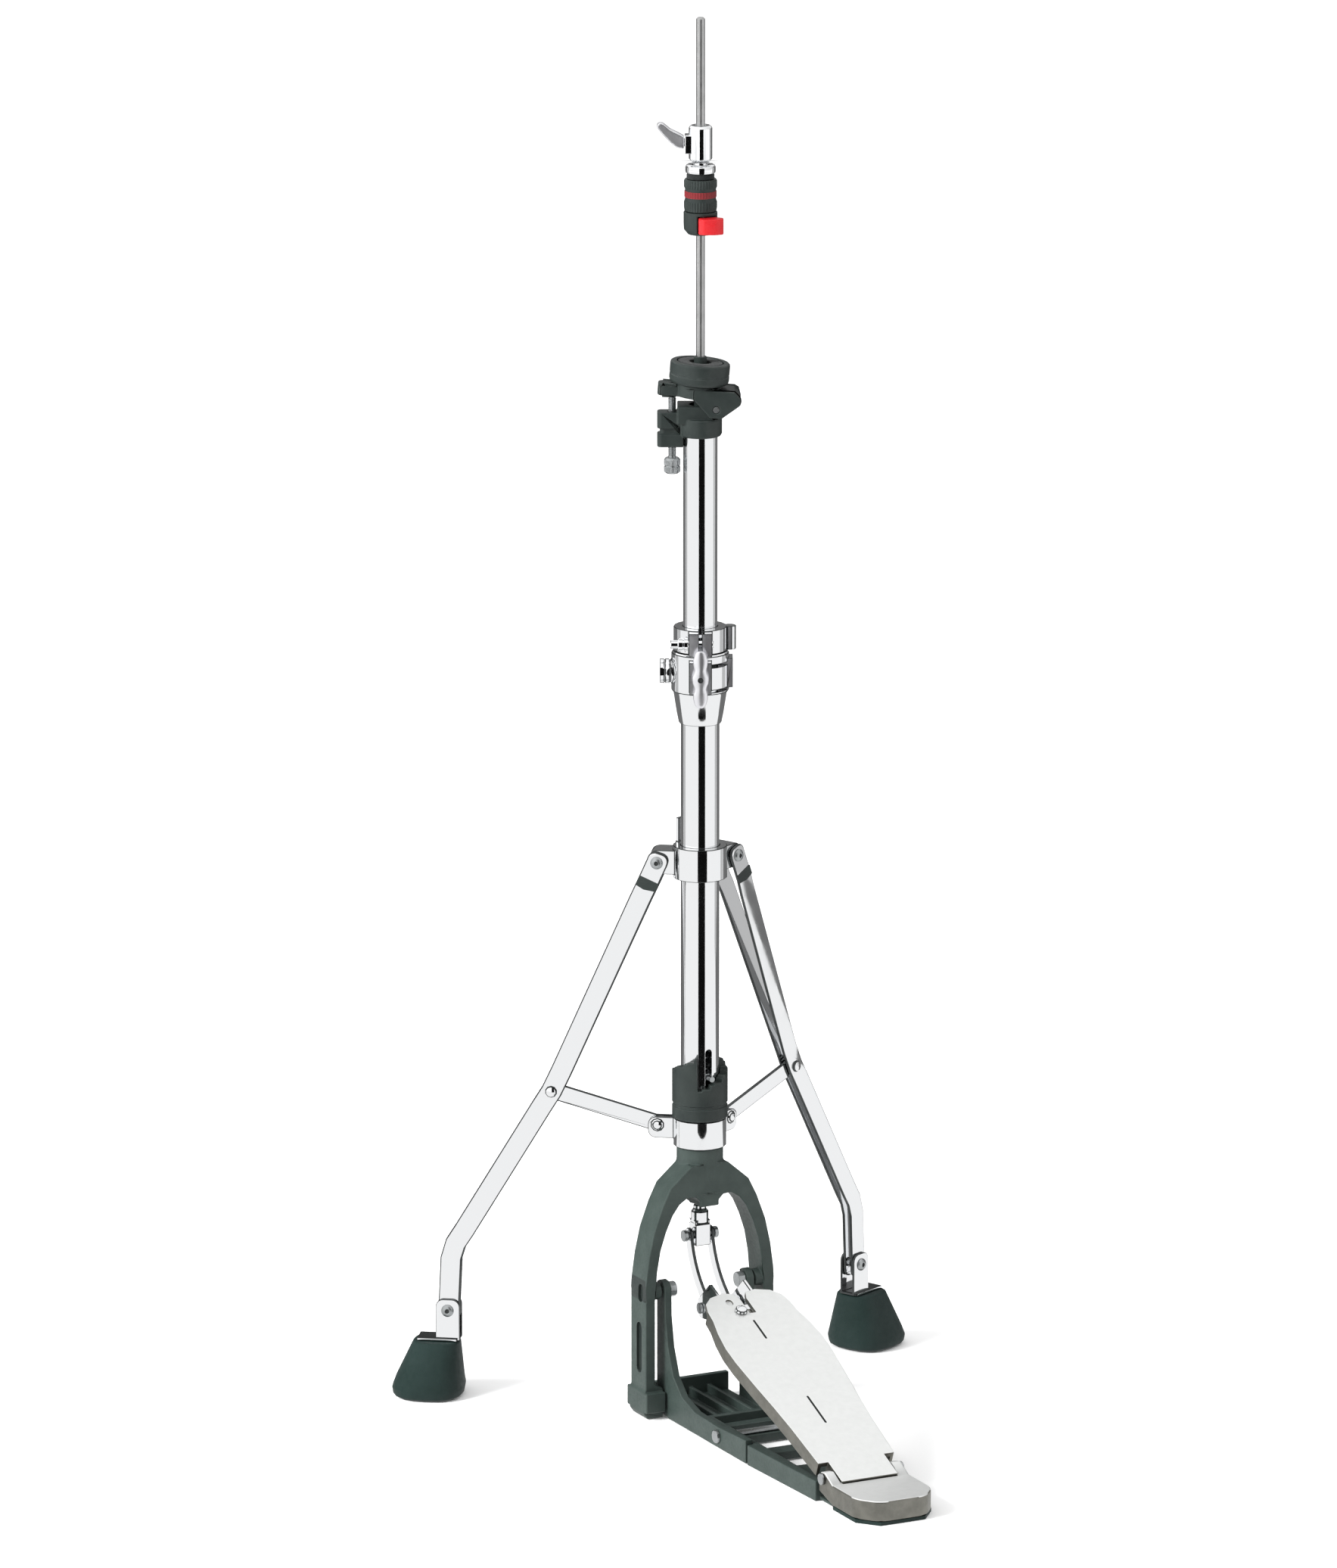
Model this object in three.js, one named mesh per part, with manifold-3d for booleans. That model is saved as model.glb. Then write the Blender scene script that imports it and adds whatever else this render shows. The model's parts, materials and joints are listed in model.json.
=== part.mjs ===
// Hi-hat stand without cymbals: pedal, pull rod, telescoping tubes, tilting seat, clutch and legs.
// Millimetres, +Z up. The tube axis is the Z axis, the floor is z = 0 and the pedal points to -Y.

import * as THREE from 'three';
import { mergeVertices } from 'three/addons/utils/BufferGeometryUtils.js';
import Module from 'manifold-3d';

const wasm = await Module();
wasm.setup();

// ---------------------------------------------------------------- driving dimensions

const GAP = 0.35;
const FLATNESS = 0.02;

const ROD_RADIUS = 3.4;
const ROD_TOP = 1096;
const ROD_JOIN = 470;
const FORK_PIN_Z = 139;
const FORK_TOP = 163;

const UPPER_TUBE = { outer: 13.2, inner: 11.8, bottom: 380, top: 786 };
const LOWER_TUBE = { outer: 14.9, inner: 13.65, bottom: 199, top: 583 };

const HUB = { radius: 21, low: 425.5, high: 451 };
const COLLAR = { radius: 20.7, low: 211.6, high: 233.6 };
const SLEEVE = { radius: 21.6, low: 234.2, lowStep: 260, highStep: 285.5 };

const LEG_AZIMUTHS = { right: 24.8, left: 144.8 };
const LEG_PIVOT = { out: 32, z: 438 };
const BRACE_PIVOT = { out: 32.5, z: 227 };
const BRACE_RIVET = { out: 116, z: 250 };
const LEG_STRAP = { width: 16.5, thickness: 2.4, hubSpread: 11.4, footSpread: 3.4 };
const FOOT = { out: 214, width: 57 };

const FRAME = { front: -17.5, back: 8, outer: 56, inner: 47.4, neckRadius: 18.3, neckTop: 211 };
const KNOB = { x: 33.6, y: -9.5, z: 101 };
const RAIL = { inner: 33, outer: 39, top: 17, front: -154 };
const BASE_PIVOT = { y: -107, z: 9.5 };

const HEEL_HINGE = { y: -270, z: 20 };
const BOARD_TILT = THREE.MathUtils.degToRad(22.1);
const TOE_PIVOT = { y: -34, z: 90 };

const CLAMP = { low: 548, high: 605 };
const MEMORY = { low: 605.4, high: 624 };

const SEAT_PIVOT = { out: 12, z: 796 };
const SEAT_TILT = THREE.MathUtils.degToRad(4.5);
const TILT_SCREW_Y = -21.5;
const GUIDE_RADIUS = 4.9;
const SEAT_HOLE = 8.2;

// Direction, in degrees about Z, that the clamp wings, the seat boss and the clutch face.
const FRONT_AZIMUTH = -116.5;

// ---------------------------------------------------------------- materials

const finish = (color, roughness, metalness) =>
  new THREE.MeshStandardMaterial({ color, roughness, metalness });

const CHROME = finish(0xd9dde0, 0.12, 1);
const CAST = finish(0x46504c, 0.5, 0.35);
const ALUMINIUM = finish(0xd5d8d6, 0.35, 0.9);
const RUBBER = finish(0x1f2c2a, 0.85, 0);
const PLASTIC = finish(0x232a29, 0.45, 0);
const FELT = finish(0x191c1c, 0.95, 0);
const STEEL = finish(0x9aa0a3, 0.35, 1);
const RED = finish(0xb01c20, 0.3, 0.05);

// ---------------------------------------------------------------- solids and booleans

function solid(geometry) {
  const bare = geometry.clone();
  bare.deleteAttribute('normal');
  bare.deleteAttribute('uv');
  const merged = mergeVertices(bare, 1e-4);
  return new wasm.Manifold(new wasm.Mesh({
    numProp: 3,
    vertProperties: new Float32Array(merged.attributes.position.array),
    triVerts: new Uint32Array(merged.index.array),
  }));
}

// Takes the main body, without the slivers that faces in one plane can leave behind.
function geometryOf(manifold) {
  const [body] = manifold.decompose().sort((a, b) => b.volume() - a.volume());
  const mesh = body.simplify(FLATNESS).getMesh();
  const geometry = new THREE.BufferGeometry();
  geometry.setAttribute('position', new THREE.BufferAttribute(new Float32Array(mesh.vertProperties), 3));
  geometry.setIndex(new THREE.BufferAttribute(new Uint32Array(mesh.triVerts), 1));
  return geometry;
}

function union(...geometries) {
  const whole = geometries.map(solid).reduce((sum, next) => sum.add(next));
  return geometryOf(whole);
}

function cut(geometry, ...tools) {
  const rest = tools.map(solid).reduce((sum, next) => sum.subtract(next), solid(geometry));
  return geometryOf(rest);
}

// ---------------------------------------------------------------- basic shapes

function box(x0, x1, y0, y1, z0, z1) {
  const geometry = new THREE.BoxGeometry(x1 - x0, y1 - y0, z1 - z0);
  return geometry.translate((x0 + x1) / 2, (y0 + y1) / 2, (z0 + z1) / 2);
}

// Solid of revolution about Z. Profile points are [radius, z].
function turned(profile, segments = 20) {
  const points = profile.map(([radius, z]) => new THREE.Vector2(radius, z));
  const rising = THREE.ShapeUtils.area(points) > 0;
  const ordered = rising ? points : points.reverse();
  return new THREE.LatheGeometry(ordered, segments).rotateX(Math.PI / 2);
}

function rod(radius, z0, z1, segments = 16) {
  return turned([[0, z0], [radius, z0], [radius, z1], [0, z1]], segments);
}

function tube(outer, inner, z0, z1, segments = 20) {
  return turned([[inner, z0], [outer, z0], [outer, z1], [inner, z1], [inner, z0]], segments);
}

// A rod along X, centred on (0, y, z).
function rodAlongX(radius, x0, x1, y, z, segments = 16) {
  return rod(radius, x0, x1, segments).rotateY(Math.PI / 2).translate(0, y, z);
}

// A rod along Y, centred on (x, 0, z).
function rodAlongY(radius, y0, y1, x, z, segments = 16) {
  return rod(radius, -y1, -y0, segments).rotateX(Math.PI / 2).translate(x, 0, z);
}

function outline(points) {
  return new THREE.Shape(points.map(([a, b]) => new THREE.Vector2(a, b)));
}

// Plate drawn in X and Z, thick along Y.
function plateXZ(points, y0, y1) {
  const geometry = new THREE.ExtrudeGeometry(outline(points), { depth: y1 - y0, bevelEnabled: false });
  return geometry.rotateX(Math.PI / 2).translate(0, y1, 0);
}

// Plate drawn in Y and Z, thick along X.
function plateYZ(points, x0, x1) {
  const geometry = new THREE.ExtrudeGeometry(outline(points), { depth: x1 - x0, bevelEnabled: false });
  return geometry.rotateX(Math.PI / 2).rotateZ(Math.PI / 2).translate(x0, 0, 0);
}

// Plate drawn in X and Y, thick along Z.
function plateXY(points, z0, z1) {
  const geometry = new THREE.ExtrudeGeometry(outline(points), { depth: z1 - z0, bevelEnabled: false });
  return geometry.translate(0, 0, z0);
}

const mirrored = (half) => [...half, ...half.map(([x, z]) => [-x, z]).reverse()];

// Wing for a wing bolt: flat in the plane of Y and Z, with its hub on the X axis.
function wings(reach, width, thickness) {
  const half = [
    [width * 0.3, 0], [width * 0.5, reach * 0.6], [width * 0.4, reach * 0.92], [0, reach],
  ];
  const points = [...half, ...half.slice(0, 3).map(([y, z]) => [-y, z]).reverse()];
  const lower = points.map(([y, z]) => [-y, -z]);
  const upper = outline(points);
  const depth = { depth: thickness, bevelEnabled: false };
  const first = new THREE.ExtrudeGeometry(upper, depth);
  const second = new THREE.ExtrudeGeometry(outline(lower), depth);
  const hub = rod(width * 0.42, -thickness * 0.6, thickness * 1.4, 10);
  return union(first, second, hub).rotateX(Math.PI / 2).rotateZ(Math.PI / 2);
}

// Flat strap through stations of distance out, height and sideways offset, in the plane y = 0.
function strap(stations, width, thickness) {
  const vertices = [];
  const triangles = [];
  stations.forEach(([out, z, side], index) => {
    const before = stations[Math.max(index - 1, 0)];
    const after = stations[Math.min(index + 1, stations.length - 1)];
    const along = new THREE.Vector2(after[0] - before[0], after[1] - before[1]).normalize();
    const half = width / 2;
    const across = [-along.y * half, along.x * half];
    for (const [edge, face] of [[1, -1], [-1, -1], [-1, 1], [1, 1]]) {
      vertices.push(out + edge * across[0], side + face * thickness / 2, z + edge * across[1]);
    }
    if (index > 0) {
      const base = 4 * (index - 1);
      for (let corner = 0; corner < 4; corner += 1) {
        const next = (corner + 1) % 4;
        triangles.push(base + corner, base + next, base + 4 + corner);
        triangles.push(base + next, base + 4 + next, base + 4 + corner);
      }
    }
  });
  const last = 4 * (stations.length - 1);
  triangles.push(0, 2, 1, 0, 3, 2);
  triangles.push(last, last + 1, last + 2, last, last + 2, last + 3);
  const geometry = new THREE.BufferGeometry();
  geometry.setAttribute('position', new THREE.BufferAttribute(new Float32Array(vertices), 3));
  geometry.setIndex(triangles);
  return geometry;
}

// ---------------------------------------------------------------- scene graph

const stand = new THREE.Group();

function add(name, geometry, material, parent = stand) {
  const mesh = new THREE.Mesh(geometry, material);
  mesh.name = name;
  parent.add(mesh);
  return mesh;
}

function turnedGroup(azimuthDegrees, parent = stand) {
  const group = new THREE.Group();
  group.rotation.z = THREE.MathUtils.degToRad(azimuthDegrees);
  parent.add(group);
  return group;
}

// ---------------------------------------------------------------- pedal frame

function pedalFrame() {
  const outside = [
    [16, 199.5], [34, 184], [41, 170], [48.5, 150], [53, 130], [55.5, 112], [FRAME.outer, 95],
    [FRAME.outer, 24], [57.4, 22], [57.4, 5], [54, 0.4], [40.5, 0.4], [40.5, 24], [FRAME.inner, 28],
  ];
  const inside = [
    [FRAME.inner, 95], [45.5, 118], [42.5, 135], [37.5, 150], [32, 162], [26, 170], [19, 174.5],
    [12, 174], [8, 170], [8, 165.5],
  ];
  const yoke = plateXZ(mirrored([...outside, ...inside]), FRAME.front, FRAME.back);
  const neck = rod(FRAME.neckRadius, 176, FRAME.neckTop, 20);
  const feet = [-1, 1].map((side) => {
    const inner = side * 40.5;
    const outer = side * 57.4;
    return box(Math.min(inner, outer), Math.max(inner, outer), -22, 12, 6, 22);
  });
  const lugs = [-1, 1].map((side) => {
    const root = side * (FRAME.inner + 0.5);
    const tip = side * 40.5;
    return rodAlongX(7, Math.min(root, tip), Math.max(root, tip), KNOB.y, KNOB.z, 10);
  });
  const tubeSocket = rod(LOWER_TUBE.outer + GAP, 198.6, FRAME.neckTop + 1, 20);
  const rodBore = rod(7.4, 150, 200, 16);
  return cut(union(yoke, neck, ...feet, ...lugs), tubeSocket, rodBore);
}

add('pedal_frame', pedalFrame(), CAST);
add('rod_guide_bushing', tube(7, ROD_RADIUS + 0.3, 166, 198, 16), PLASTIC);

// One casting: a ribbed plate between two rails, each with an arm that rises to a frame knob.
function rearBase() {
  const side = [
    [-3, 107], [-3, 3], [-24, 0.6], [RAIL.front, 0.6], [RAIL.front, 19], [-107, RAIL.top], [-68, 18],
    [-46, 24], [-31, 37], [-22, 58], [-17.5, 82], [-17, 104], [-13, 108.5], [-7, 109],
  ];
  const arms = [RAIL.inner, -RAIL.outer].map((x) => plateYZ(side, x, x + RAIL.outer - RAIL.inner));
  const half = RAIL.inner + 0.2;
  const floor = box(-half, half, -70, 20, 0, 4.5);
  const backWall = box(-half, half, 15, 20, 0, 19);
  const frontWall = box(-half, half, -70, -65, 0, 13);
  const ribs = [-16, 0, 16].map((x) => box(x - 1.6, x + 1.6, -66, 16, 4, 11));
  const knobHole = rodAlongX(3.4, -50, 50, KNOB.y, KNOB.z, 10);
  const pivotHole = rodAlongX(3.4, -50, 50, BASE_PIVOT.y, BASE_PIVOT.z, 10);
  return cut(union(floor, backWall, frontWall, ...arms, ...ribs), knobHole, pivotHole);
}

add('rear_base', rearBase(), CAST);

// The heads face the inside of the arch, and the shanks run out through the arms to the frame lugs.
for (const [name, side] of [['left', -1], ['right', 1]]) {
  const bolt = turned([
    [0, 27], [6, 27], [6, RAIL.inner - 0.3], [3, RAIL.inner - 0.3], [3, 40.1], [0, 40.1],
  ], 10);
  add(`frame_knob_${name}`, bolt.rotateY(side * Math.PI / 2).translate(0, KNOB.y, KNOB.z), STEEL);
}

function frontBase() {
  const half = RAIL.inner - GAP;
  const sides = [-1, 1].map((side) => {
    const inner = side * (half - 5);
    const wall = [
      [side * half, -74], [side * half, -155], [side * 38.6, -156], [side * 34.5, -261.5],
      [side * 28, -261.5], [inner, -160], [inner, -74],
    ];
    return plateXY(side > 0 ? wall.reverse() : wall, 0, 16);
  });
  const crossBars = [[-74, -84], [-100, -113], [-146, -161], [-196, -261.5]];
  const bars = crossBars.map(([y1, y0]) => box(-half + 1, half - 1, y0, y1, 1, 8));
  const tongue = box(-30, 30, -285.5, -261, 0.6, 2.85);
  const pivotHole = rodAlongX(3.4, -45, 45, BASE_PIVOT.y, BASE_PIVOT.z, 10);
  return cut(union(...sides, ...bars, tongue), pivotHole);
}

add('front_base_plate', frontBase(), CAST);
const pivotRod = turned([
  [0, -RAIL.outer - 2.8], [5, -RAIL.outer - 2.6], [5.5, -RAIL.outer - 0.3], [3, -RAIL.outer - 0.3],
  [3, RAIL.outer + 0.3], [5.5, RAIL.outer + 0.3], [5, RAIL.outer + 2.6], [0, RAIL.outer + 2.8],
], 10);
add('base_pivot_rod', pivotRod.rotateY(Math.PI / 2).translate(0, BASE_PIVOT.y, BASE_PIVOT.z), STEEL);

// ---------------------------------------------------------------- heel plate and footboard

function heelPlate() {
  const top = [
    [33, -284.5], [33, -323], [19.5, -339.5], [-19.5, -339.5], [-33, -323], [-33, -284.5],
  ];
  const block = plateXY(top.slice().reverse(), 3.2, 19);
  const knuckles = [-1, 1].map((side) => {
    const inner = side * 24.4;
    const outer = side * 33;
    const ear = [[-286, 3.2], [-264, 9], [-263.6, 20], [-266, 24.6], [-273, 25.6], [-286, 19]];
    return plateYZ(ear, Math.min(inner, outer), Math.max(inner, outer));
  });
  const pinHole = rodAlongX(3.2, -40, 40, HEEL_HINGE.y, HEEL_HINGE.z, 10);
  return cut(union(block, ...knuckles), pinHole);
}

add('heel_plate', heelPlate(), ALUMINIUM);
const padOutline = [[32.5, -286], [32.5, -322.5], [19, -338.5], [-19, -338.5], [-32.5, -322.5], [-32.5, -286]];
add('heel_rubber_pad', plateXY(padOutline.slice().reverse(), 0, 2.85), RUBBER);
const hingePin = turned([[0, -35], [4.6, -35], [4.6, -33.3], [2.8, -33.3], [2.8, 33.3], [4.6, 33.3],
  [4.6, 35], [0, 35]], 10);
add('heel_hinge_pin', hingePin.rotateY(Math.PI / 2).translate(0, HEEL_HINGE.y, HEEL_HINGE.z), STEEL);

// The footboard group has its origin on the hinge axis, with +Y along the board to the toe.
const board = new THREE.Group();
board.position.set(0, HEEL_HINGE.y, HEEL_HINGE.z);
board.rotation.x = BOARD_TILT;
stand.add(board);

const BOARD_EDGE = [
  [32.6, 11], [33.2, 25], [34.5, 55], [36.5, 82], [39.4, 112], [41.6, 140], [41.8, 158], [39.8, 176],
  [36.5, 192], [35.5, 204], [33, 213], [26, 220], [14, 223.5], [5, 221], [2.6, 214], [2.6, 196],
];

function footboard() {
  const edge = [...BOARD_EDGE, [-2.6, 196], ...BOARD_EDGE.slice(0, -1).map(([x, y]) => [-x, y]).reverse()];
  const deck = plateXY(edge, 2.2, 6.2);
  const inset = BOARD_EDGE.slice(0, 10).map(([x, y]) => [x - 3.2, y]);
  const flanges = [-1, 1].map((side) => {
    const band = [...BOARD_EDGE.slice(0, 10), ...inset.slice().reverse()].map(([x, y]) => [side * x, y]);
    return plateXY(side > 0 ? band : band.reverse(), -5.5, 2.6);
  });
  const tongue = union(box(-24, 24, 0, 13, -3.4, 5.2), box(-24, 24, -13.2, 13, 3.6, 6.2));
  const knuckle = rodAlongX(6, -24, 24, 0, 0, 16);
  const bore = rodAlongX(3.15, -30, 30, 0, 0, 10);
  const studHole = rod(3, 1, 8, 10).translate(-9, 199, 0);
  return cut(union(deck, ...flanges, tongue, knuckle), bore, studHole);
}

add('footboard', footboard(), ALUMINIUM, board);

// Clevis under the toe: two ears that carry the toe pin below the board.
const toeOffset = { y: TOE_PIVOT.y - HEEL_HINGE.y, z: TOE_PIVOT.z - HEEL_HINGE.z };
const TOE = {
  y: toeOffset.y * Math.cos(BOARD_TILT) + toeOffset.z * Math.sin(BOARD_TILT),
  z: -toeOffset.y * Math.sin(BOARD_TILT) + toeOffset.z * Math.cos(BOARD_TILT),
};

function toeClevis() {
  const ear = [
    [192, 1.8], [192, -4], [TOE.y - 8, TOE.z - 5], [TOE.y, TOE.z - 8.5], [TOE.y + 7, TOE.z - 4],
    [TOE.y + 7, TOE.z + 4], [TOE.y - 4, 1.8],
  ];
  const ears = [-1, 1].map((side) => plateYZ(ear, side > 0 ? 13.2 : -16.2, side > 0 ? 16.2 : -13.2));
  const bridge = box(-16.2, 16.2, 192, 206, -1.4, 1.8);
  const pinHole = rodAlongX(2.9, -20, 20, TOE.y, TOE.z, 10);
  const stud = turned([[0, -5], [2.6, -5], [2.6, 6.5], [5.2, 6.5], [4.6, 9], [0, 9.4]], 10);
  return cut(union(...ears, bridge, stud.translate(-9, 199, 0)), pinHole);
}

add('toe_clevis', toeClevis(), CHROME, board);
const toePin = turned([
  [0, -18.4], [4.4, -18.2], [4.4, -16.5], [2.4, -16.5], [2.4, 16.5], [4.4, 16.5], [4.4, 18.2], [0, 18.4],
], 10);
add('toe_pin', toePin.rotateY(Math.PI / 2).translate(0, TOE.y, TOE.z), STEEL, board);

// ---------------------------------------------------------------- direct-drive linkage

function rodFork() {
  const socket = turned([[0, 149], [6.8, 149], [6.8, 158], [5, 160], [5, FORK_TOP], [0, FORK_TOP]], 16);
  const shoulder = box(-6.4, 6.4, -5, 5, 146, 151);
  const cheeks = box(-6.4, 6.4, -6, 6, 131, 148);
  const pinHole = rodAlongX(2.9, -10, 10, 0, FORK_PIN_Z, 10);
  const rodHole = rod(ROD_RADIUS - 0.4, 152, FORK_TOP + 1, 10);
  return cut(union(socket, shoulder, cheeks), pinHole, rodHole);
}

add('rod_fork', rodFork(), CHROME);
const forkPin = turned([[0, -14.6], [4.6, -14.6], [4.6, -11.6], [2.5, -11.6], [2.5, 11.6], [4.6, 11.6],
  [4.6, 14.6], [0, 14.6]], 10);
add('fork_pin', forkPin.rotateY(Math.PI / 2).translate(0, 0, FORK_PIN_Z), STEEL);

// Curved link strap from the fork pin down to the toe pin, drawn in Y and Z.
function linkStrap() {
  const top = new THREE.Vector2(0, FORK_PIN_Z);
  const foot = new THREE.Vector2(TOE_PIVOT.y, TOE_PIVOT.z);
  const curve = new THREE.QuadraticBezierCurve(top, new THREE.Vector2(-6, 108), foot);
  const steps = 8;
  const half = 4.6;
  const centre = curve.getPoints(steps);
  const normals = centre.map((_, index) => {
    const tangent = curve.getTangent(index / steps);
    return new THREE.Vector2(-tangent.y, tangent.x);
  });
  const frontEdge = centre.map((point, index) => point.clone().addScaledVector(normals[index], half));
  const backEdge = centre.map((point, index) => point.clone().addScaledVector(normals[index], -half));
  const band = [...frontEdge, ...backEdge.reverse()].map((point) => [point.x, point.y]);
  const thickness = 2.6;
  const plate = plateYZ(band.reverse(), 0, thickness);
  const upperEye = rodAlongX(6, 0, thickness, 0, FORK_PIN_Z, 16);
  const lowerEye = rodAlongX(6.8, 0, thickness, TOE_PIVOT.y, TOE_PIVOT.z, 16);
  const upperHole = rodAlongX(2.9, -1, 4, 0, FORK_PIN_Z, 10);
  const lowerHole = rodAlongX(3.9, -1, 4, TOE_PIVOT.y, TOE_PIVOT.z, 10);
  return cut(union(plate, upperEye, lowerEye), upperHole, lowerHole);
}

add('link_strap_left', linkStrap(), CHROME).position.x = -10.4;
add('link_strap_right', linkStrap(), CHROME).position.x = 7.8;

// ---------------------------------------------------------------- pull rod and return spring

// The lower rod carries the collar that presses on the spring, and a threaded hexagon for the upper rod.
function lowerPullRod() {
  const shaft = rod(ROD_RADIUS - 0.8, 152.4, 455, 10);
  const springCollar = rod(11.6, 344, 351, 20);
  const coupler = turned([[0, 450], [6.2, 450], [6.2, 490], [0, 490]], 6);
  return cut(union(shaft, springCollar, coupler), rod(ROD_RADIUS + 0.4, ROD_JOIN, 491, 10));
}

add('lower_pull_rod', lowerPullRod(), STEEL);
add('upper_pull_rod', rod(ROD_RADIUS, ROD_JOIN + 0.4, ROD_TOP, 16), CHROME);

function compressionSpring() {
  const turns = 6;
  const coil = 8.6;
  const low = 272.4;
  const high = 342.2;
  const steps = turns * 10;
  const points = [];
  for (let step = 0; step <= steps; step += 1) {
    const angle = 2 * Math.PI * turns * step / steps;
    const z = low + (high - low) * step / steps;
    points.push(new THREE.Vector3(coil * Math.cos(angle), coil * Math.sin(angle), z));
  }
  const wire = outline([[1, 1], [-1, 1], [-1, -1], [1, -1]]);
  const path = new THREE.CatmullRomCurve3(points);
  return new THREE.ExtrudeGeometry(wire, { steps, extrudePath: path, bevelEnabled: false });
}

add('return_spring', compressionSpring(), STEEL);

// ---------------------------------------------------------------- lower tube and tension adjuster

function lowerTube() {
  const wall = tube(LOWER_TUBE.outer, LOWER_TUBE.inner, LOWER_TUBE.bottom, LOWER_TUBE.top, 20);
  const slot = box(-2.9, 2.9, -20, 20, 258, 291);
  return cut(wall, slot);
}

add('lower_tube', lowerTube(), CHROME);

// Sleeve whose top edge is two half-turn ramps, which lift the pins of the spring seat.
const RAMP_START = -122;
const RAMP_SHARE = 0.94;
const RAMP_RISE = (SLEEVE.highStep - SLEEVE.lowStep) / (180 * RAMP_SHARE);
const PIN_AZIMUTH = -90;
const PIN_RADIUS = 2.3;
const PIN_Z = SLEEVE.lowStep + (PIN_AZIMUTH - RAMP_START) * RAMP_RISE + PIN_RADIUS + 1.1;

function tensionSleeve() {
  const inner = LOWER_TUBE.outer + 0.55;
  const outer = SLEEVE.radius;
  const steps = 40;
  const vertices = [];
  const heightAt = (index) => {
    const share = (index % (steps / 2)) / (steps / 2 - 1);
    return SLEEVE.lowStep + share * (SLEEVE.highStep - SLEEVE.lowStep);
  };
  for (let index = 0; index < steps; index += 1) {
    const ramp = Math.floor(index / (steps / 2));
    const share = (index % (steps / 2)) / (steps / 2 - 1);
    const angle = THREE.MathUtils.degToRad(RAMP_START + 180 * (ramp + share * RAMP_SHARE));
    for (const [radius, z] of [[inner, SLEEVE.low], [outer, SLEEVE.low], [outer, heightAt(index)],
      [inner, heightAt(index)]]) {
      vertices.push(radius * Math.cos(angle), radius * Math.sin(angle), z);
    }
  }
  const triangles = [];
  for (let index = 0; index < steps; index += 1) {
    const here = 4 * index;
    const there = 4 * ((index + 1) % steps);
    for (let corner = 0; corner < 4; corner += 1) {
      const next = (corner + 1) % 4;
      triangles.push(here + corner, there + corner, here + next);
      triangles.push(here + next, there + corner, there + next);
    }
  }
  const geometry = new THREE.BufferGeometry();
  geometry.setAttribute('position', new THREE.BufferAttribute(new Float32Array(vertices), 3));
  geometry.setIndex(triangles);
  return geometry;
}

add('tension_sleeve', tensionSleeve(), PLASTIC);

function springSeat() {
  const ring = tube(12.9, 6, PIN_Z - 2.6, PIN_Z + 2.6, 20);
  const pin = rodAlongY(PIN_RADIUS, -21.2, 21.2, 0, PIN_Z, 10);
  const clear = rod(6, 250, 290, 16);
  return cut(union(ring, pin), clear);
}

add('spring_seat', springSeat(), STEEL);

// ---------------------------------------------------------------- legs

const legCollarShape = () => {
  const ring = tube(COLLAR.radius, LOWER_TUBE.outer + GAP, COLLAR.low, COLLAR.high, 20);
  const lugs = Object.values(LEG_AZIMUTHS).flatMap((azimuth) => [-1, 1].map((side) => {
    const y0 = side > 0 ? 2.2 : -5.2;
    return box(17.2, 40, y0, y0 + 3, 216.5, COLLAR.high - 0.3).rotateZ(THREE.MathUtils.degToRad(azimuth));
  }));
  const pins = Object.values(LEG_AZIMUTHS).map((azimuth) =>
    rivetAlongY(2.6, 4.8, BRACE_PIVOT.out, BRACE_PIVOT.z).rotateZ(THREE.MathUtils.degToRad(azimuth)));
  return union(ring, ...lugs, ...pins);
};

add('leg_collar', legCollarShape(), CHROME);

const legHubShape = () => {
  const ring = tube(HUB.radius, LOWER_TUBE.outer + GAP, HUB.low, HUB.high, 20);
  const lugs = Object.values(LEG_AZIMUTHS).map((azimuth) => {
    const lug = box(17.4, 38, -9.8, 9.8, 428.5, 447.5);
    const hole = rodAlongY(2.9, -12, 12, LEG_PIVOT.out, LEG_PIVOT.z, 10);
    return cut(lug, hole).rotateZ(THREE.MathUtils.degToRad(azimuth));
  });
  const tab = box(18, 20.8, -4, 4, 448, 470).rotateZ(THREE.MathUtils.degToRad(114));
  const shape = union(ring, ...lugs, tab);
  return cut(shape, rod(LOWER_TUBE.outer + GAP, 420, 475, 20));
};

add('leg_hub', legHubShape(), CHROME);

// Rivet along Y, with a head past each end of its grip.
function rivetAlongY(radius, grip, x, z) {
  const head = radius * 1.9;
  const profile = [
    [0, -grip - 2.4], [head * 0.7, -grip - 2], [head, -grip - 0.3], [radius, -grip - 0.3],
    [radius, grip + 0.3], [head, grip + 0.3], [head * 0.7, grip + 2], [0, grip + 2.4],
  ];
  return turned(profile, 10).rotateX(Math.PI / 2).translate(x, 0, z);
}

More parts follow.
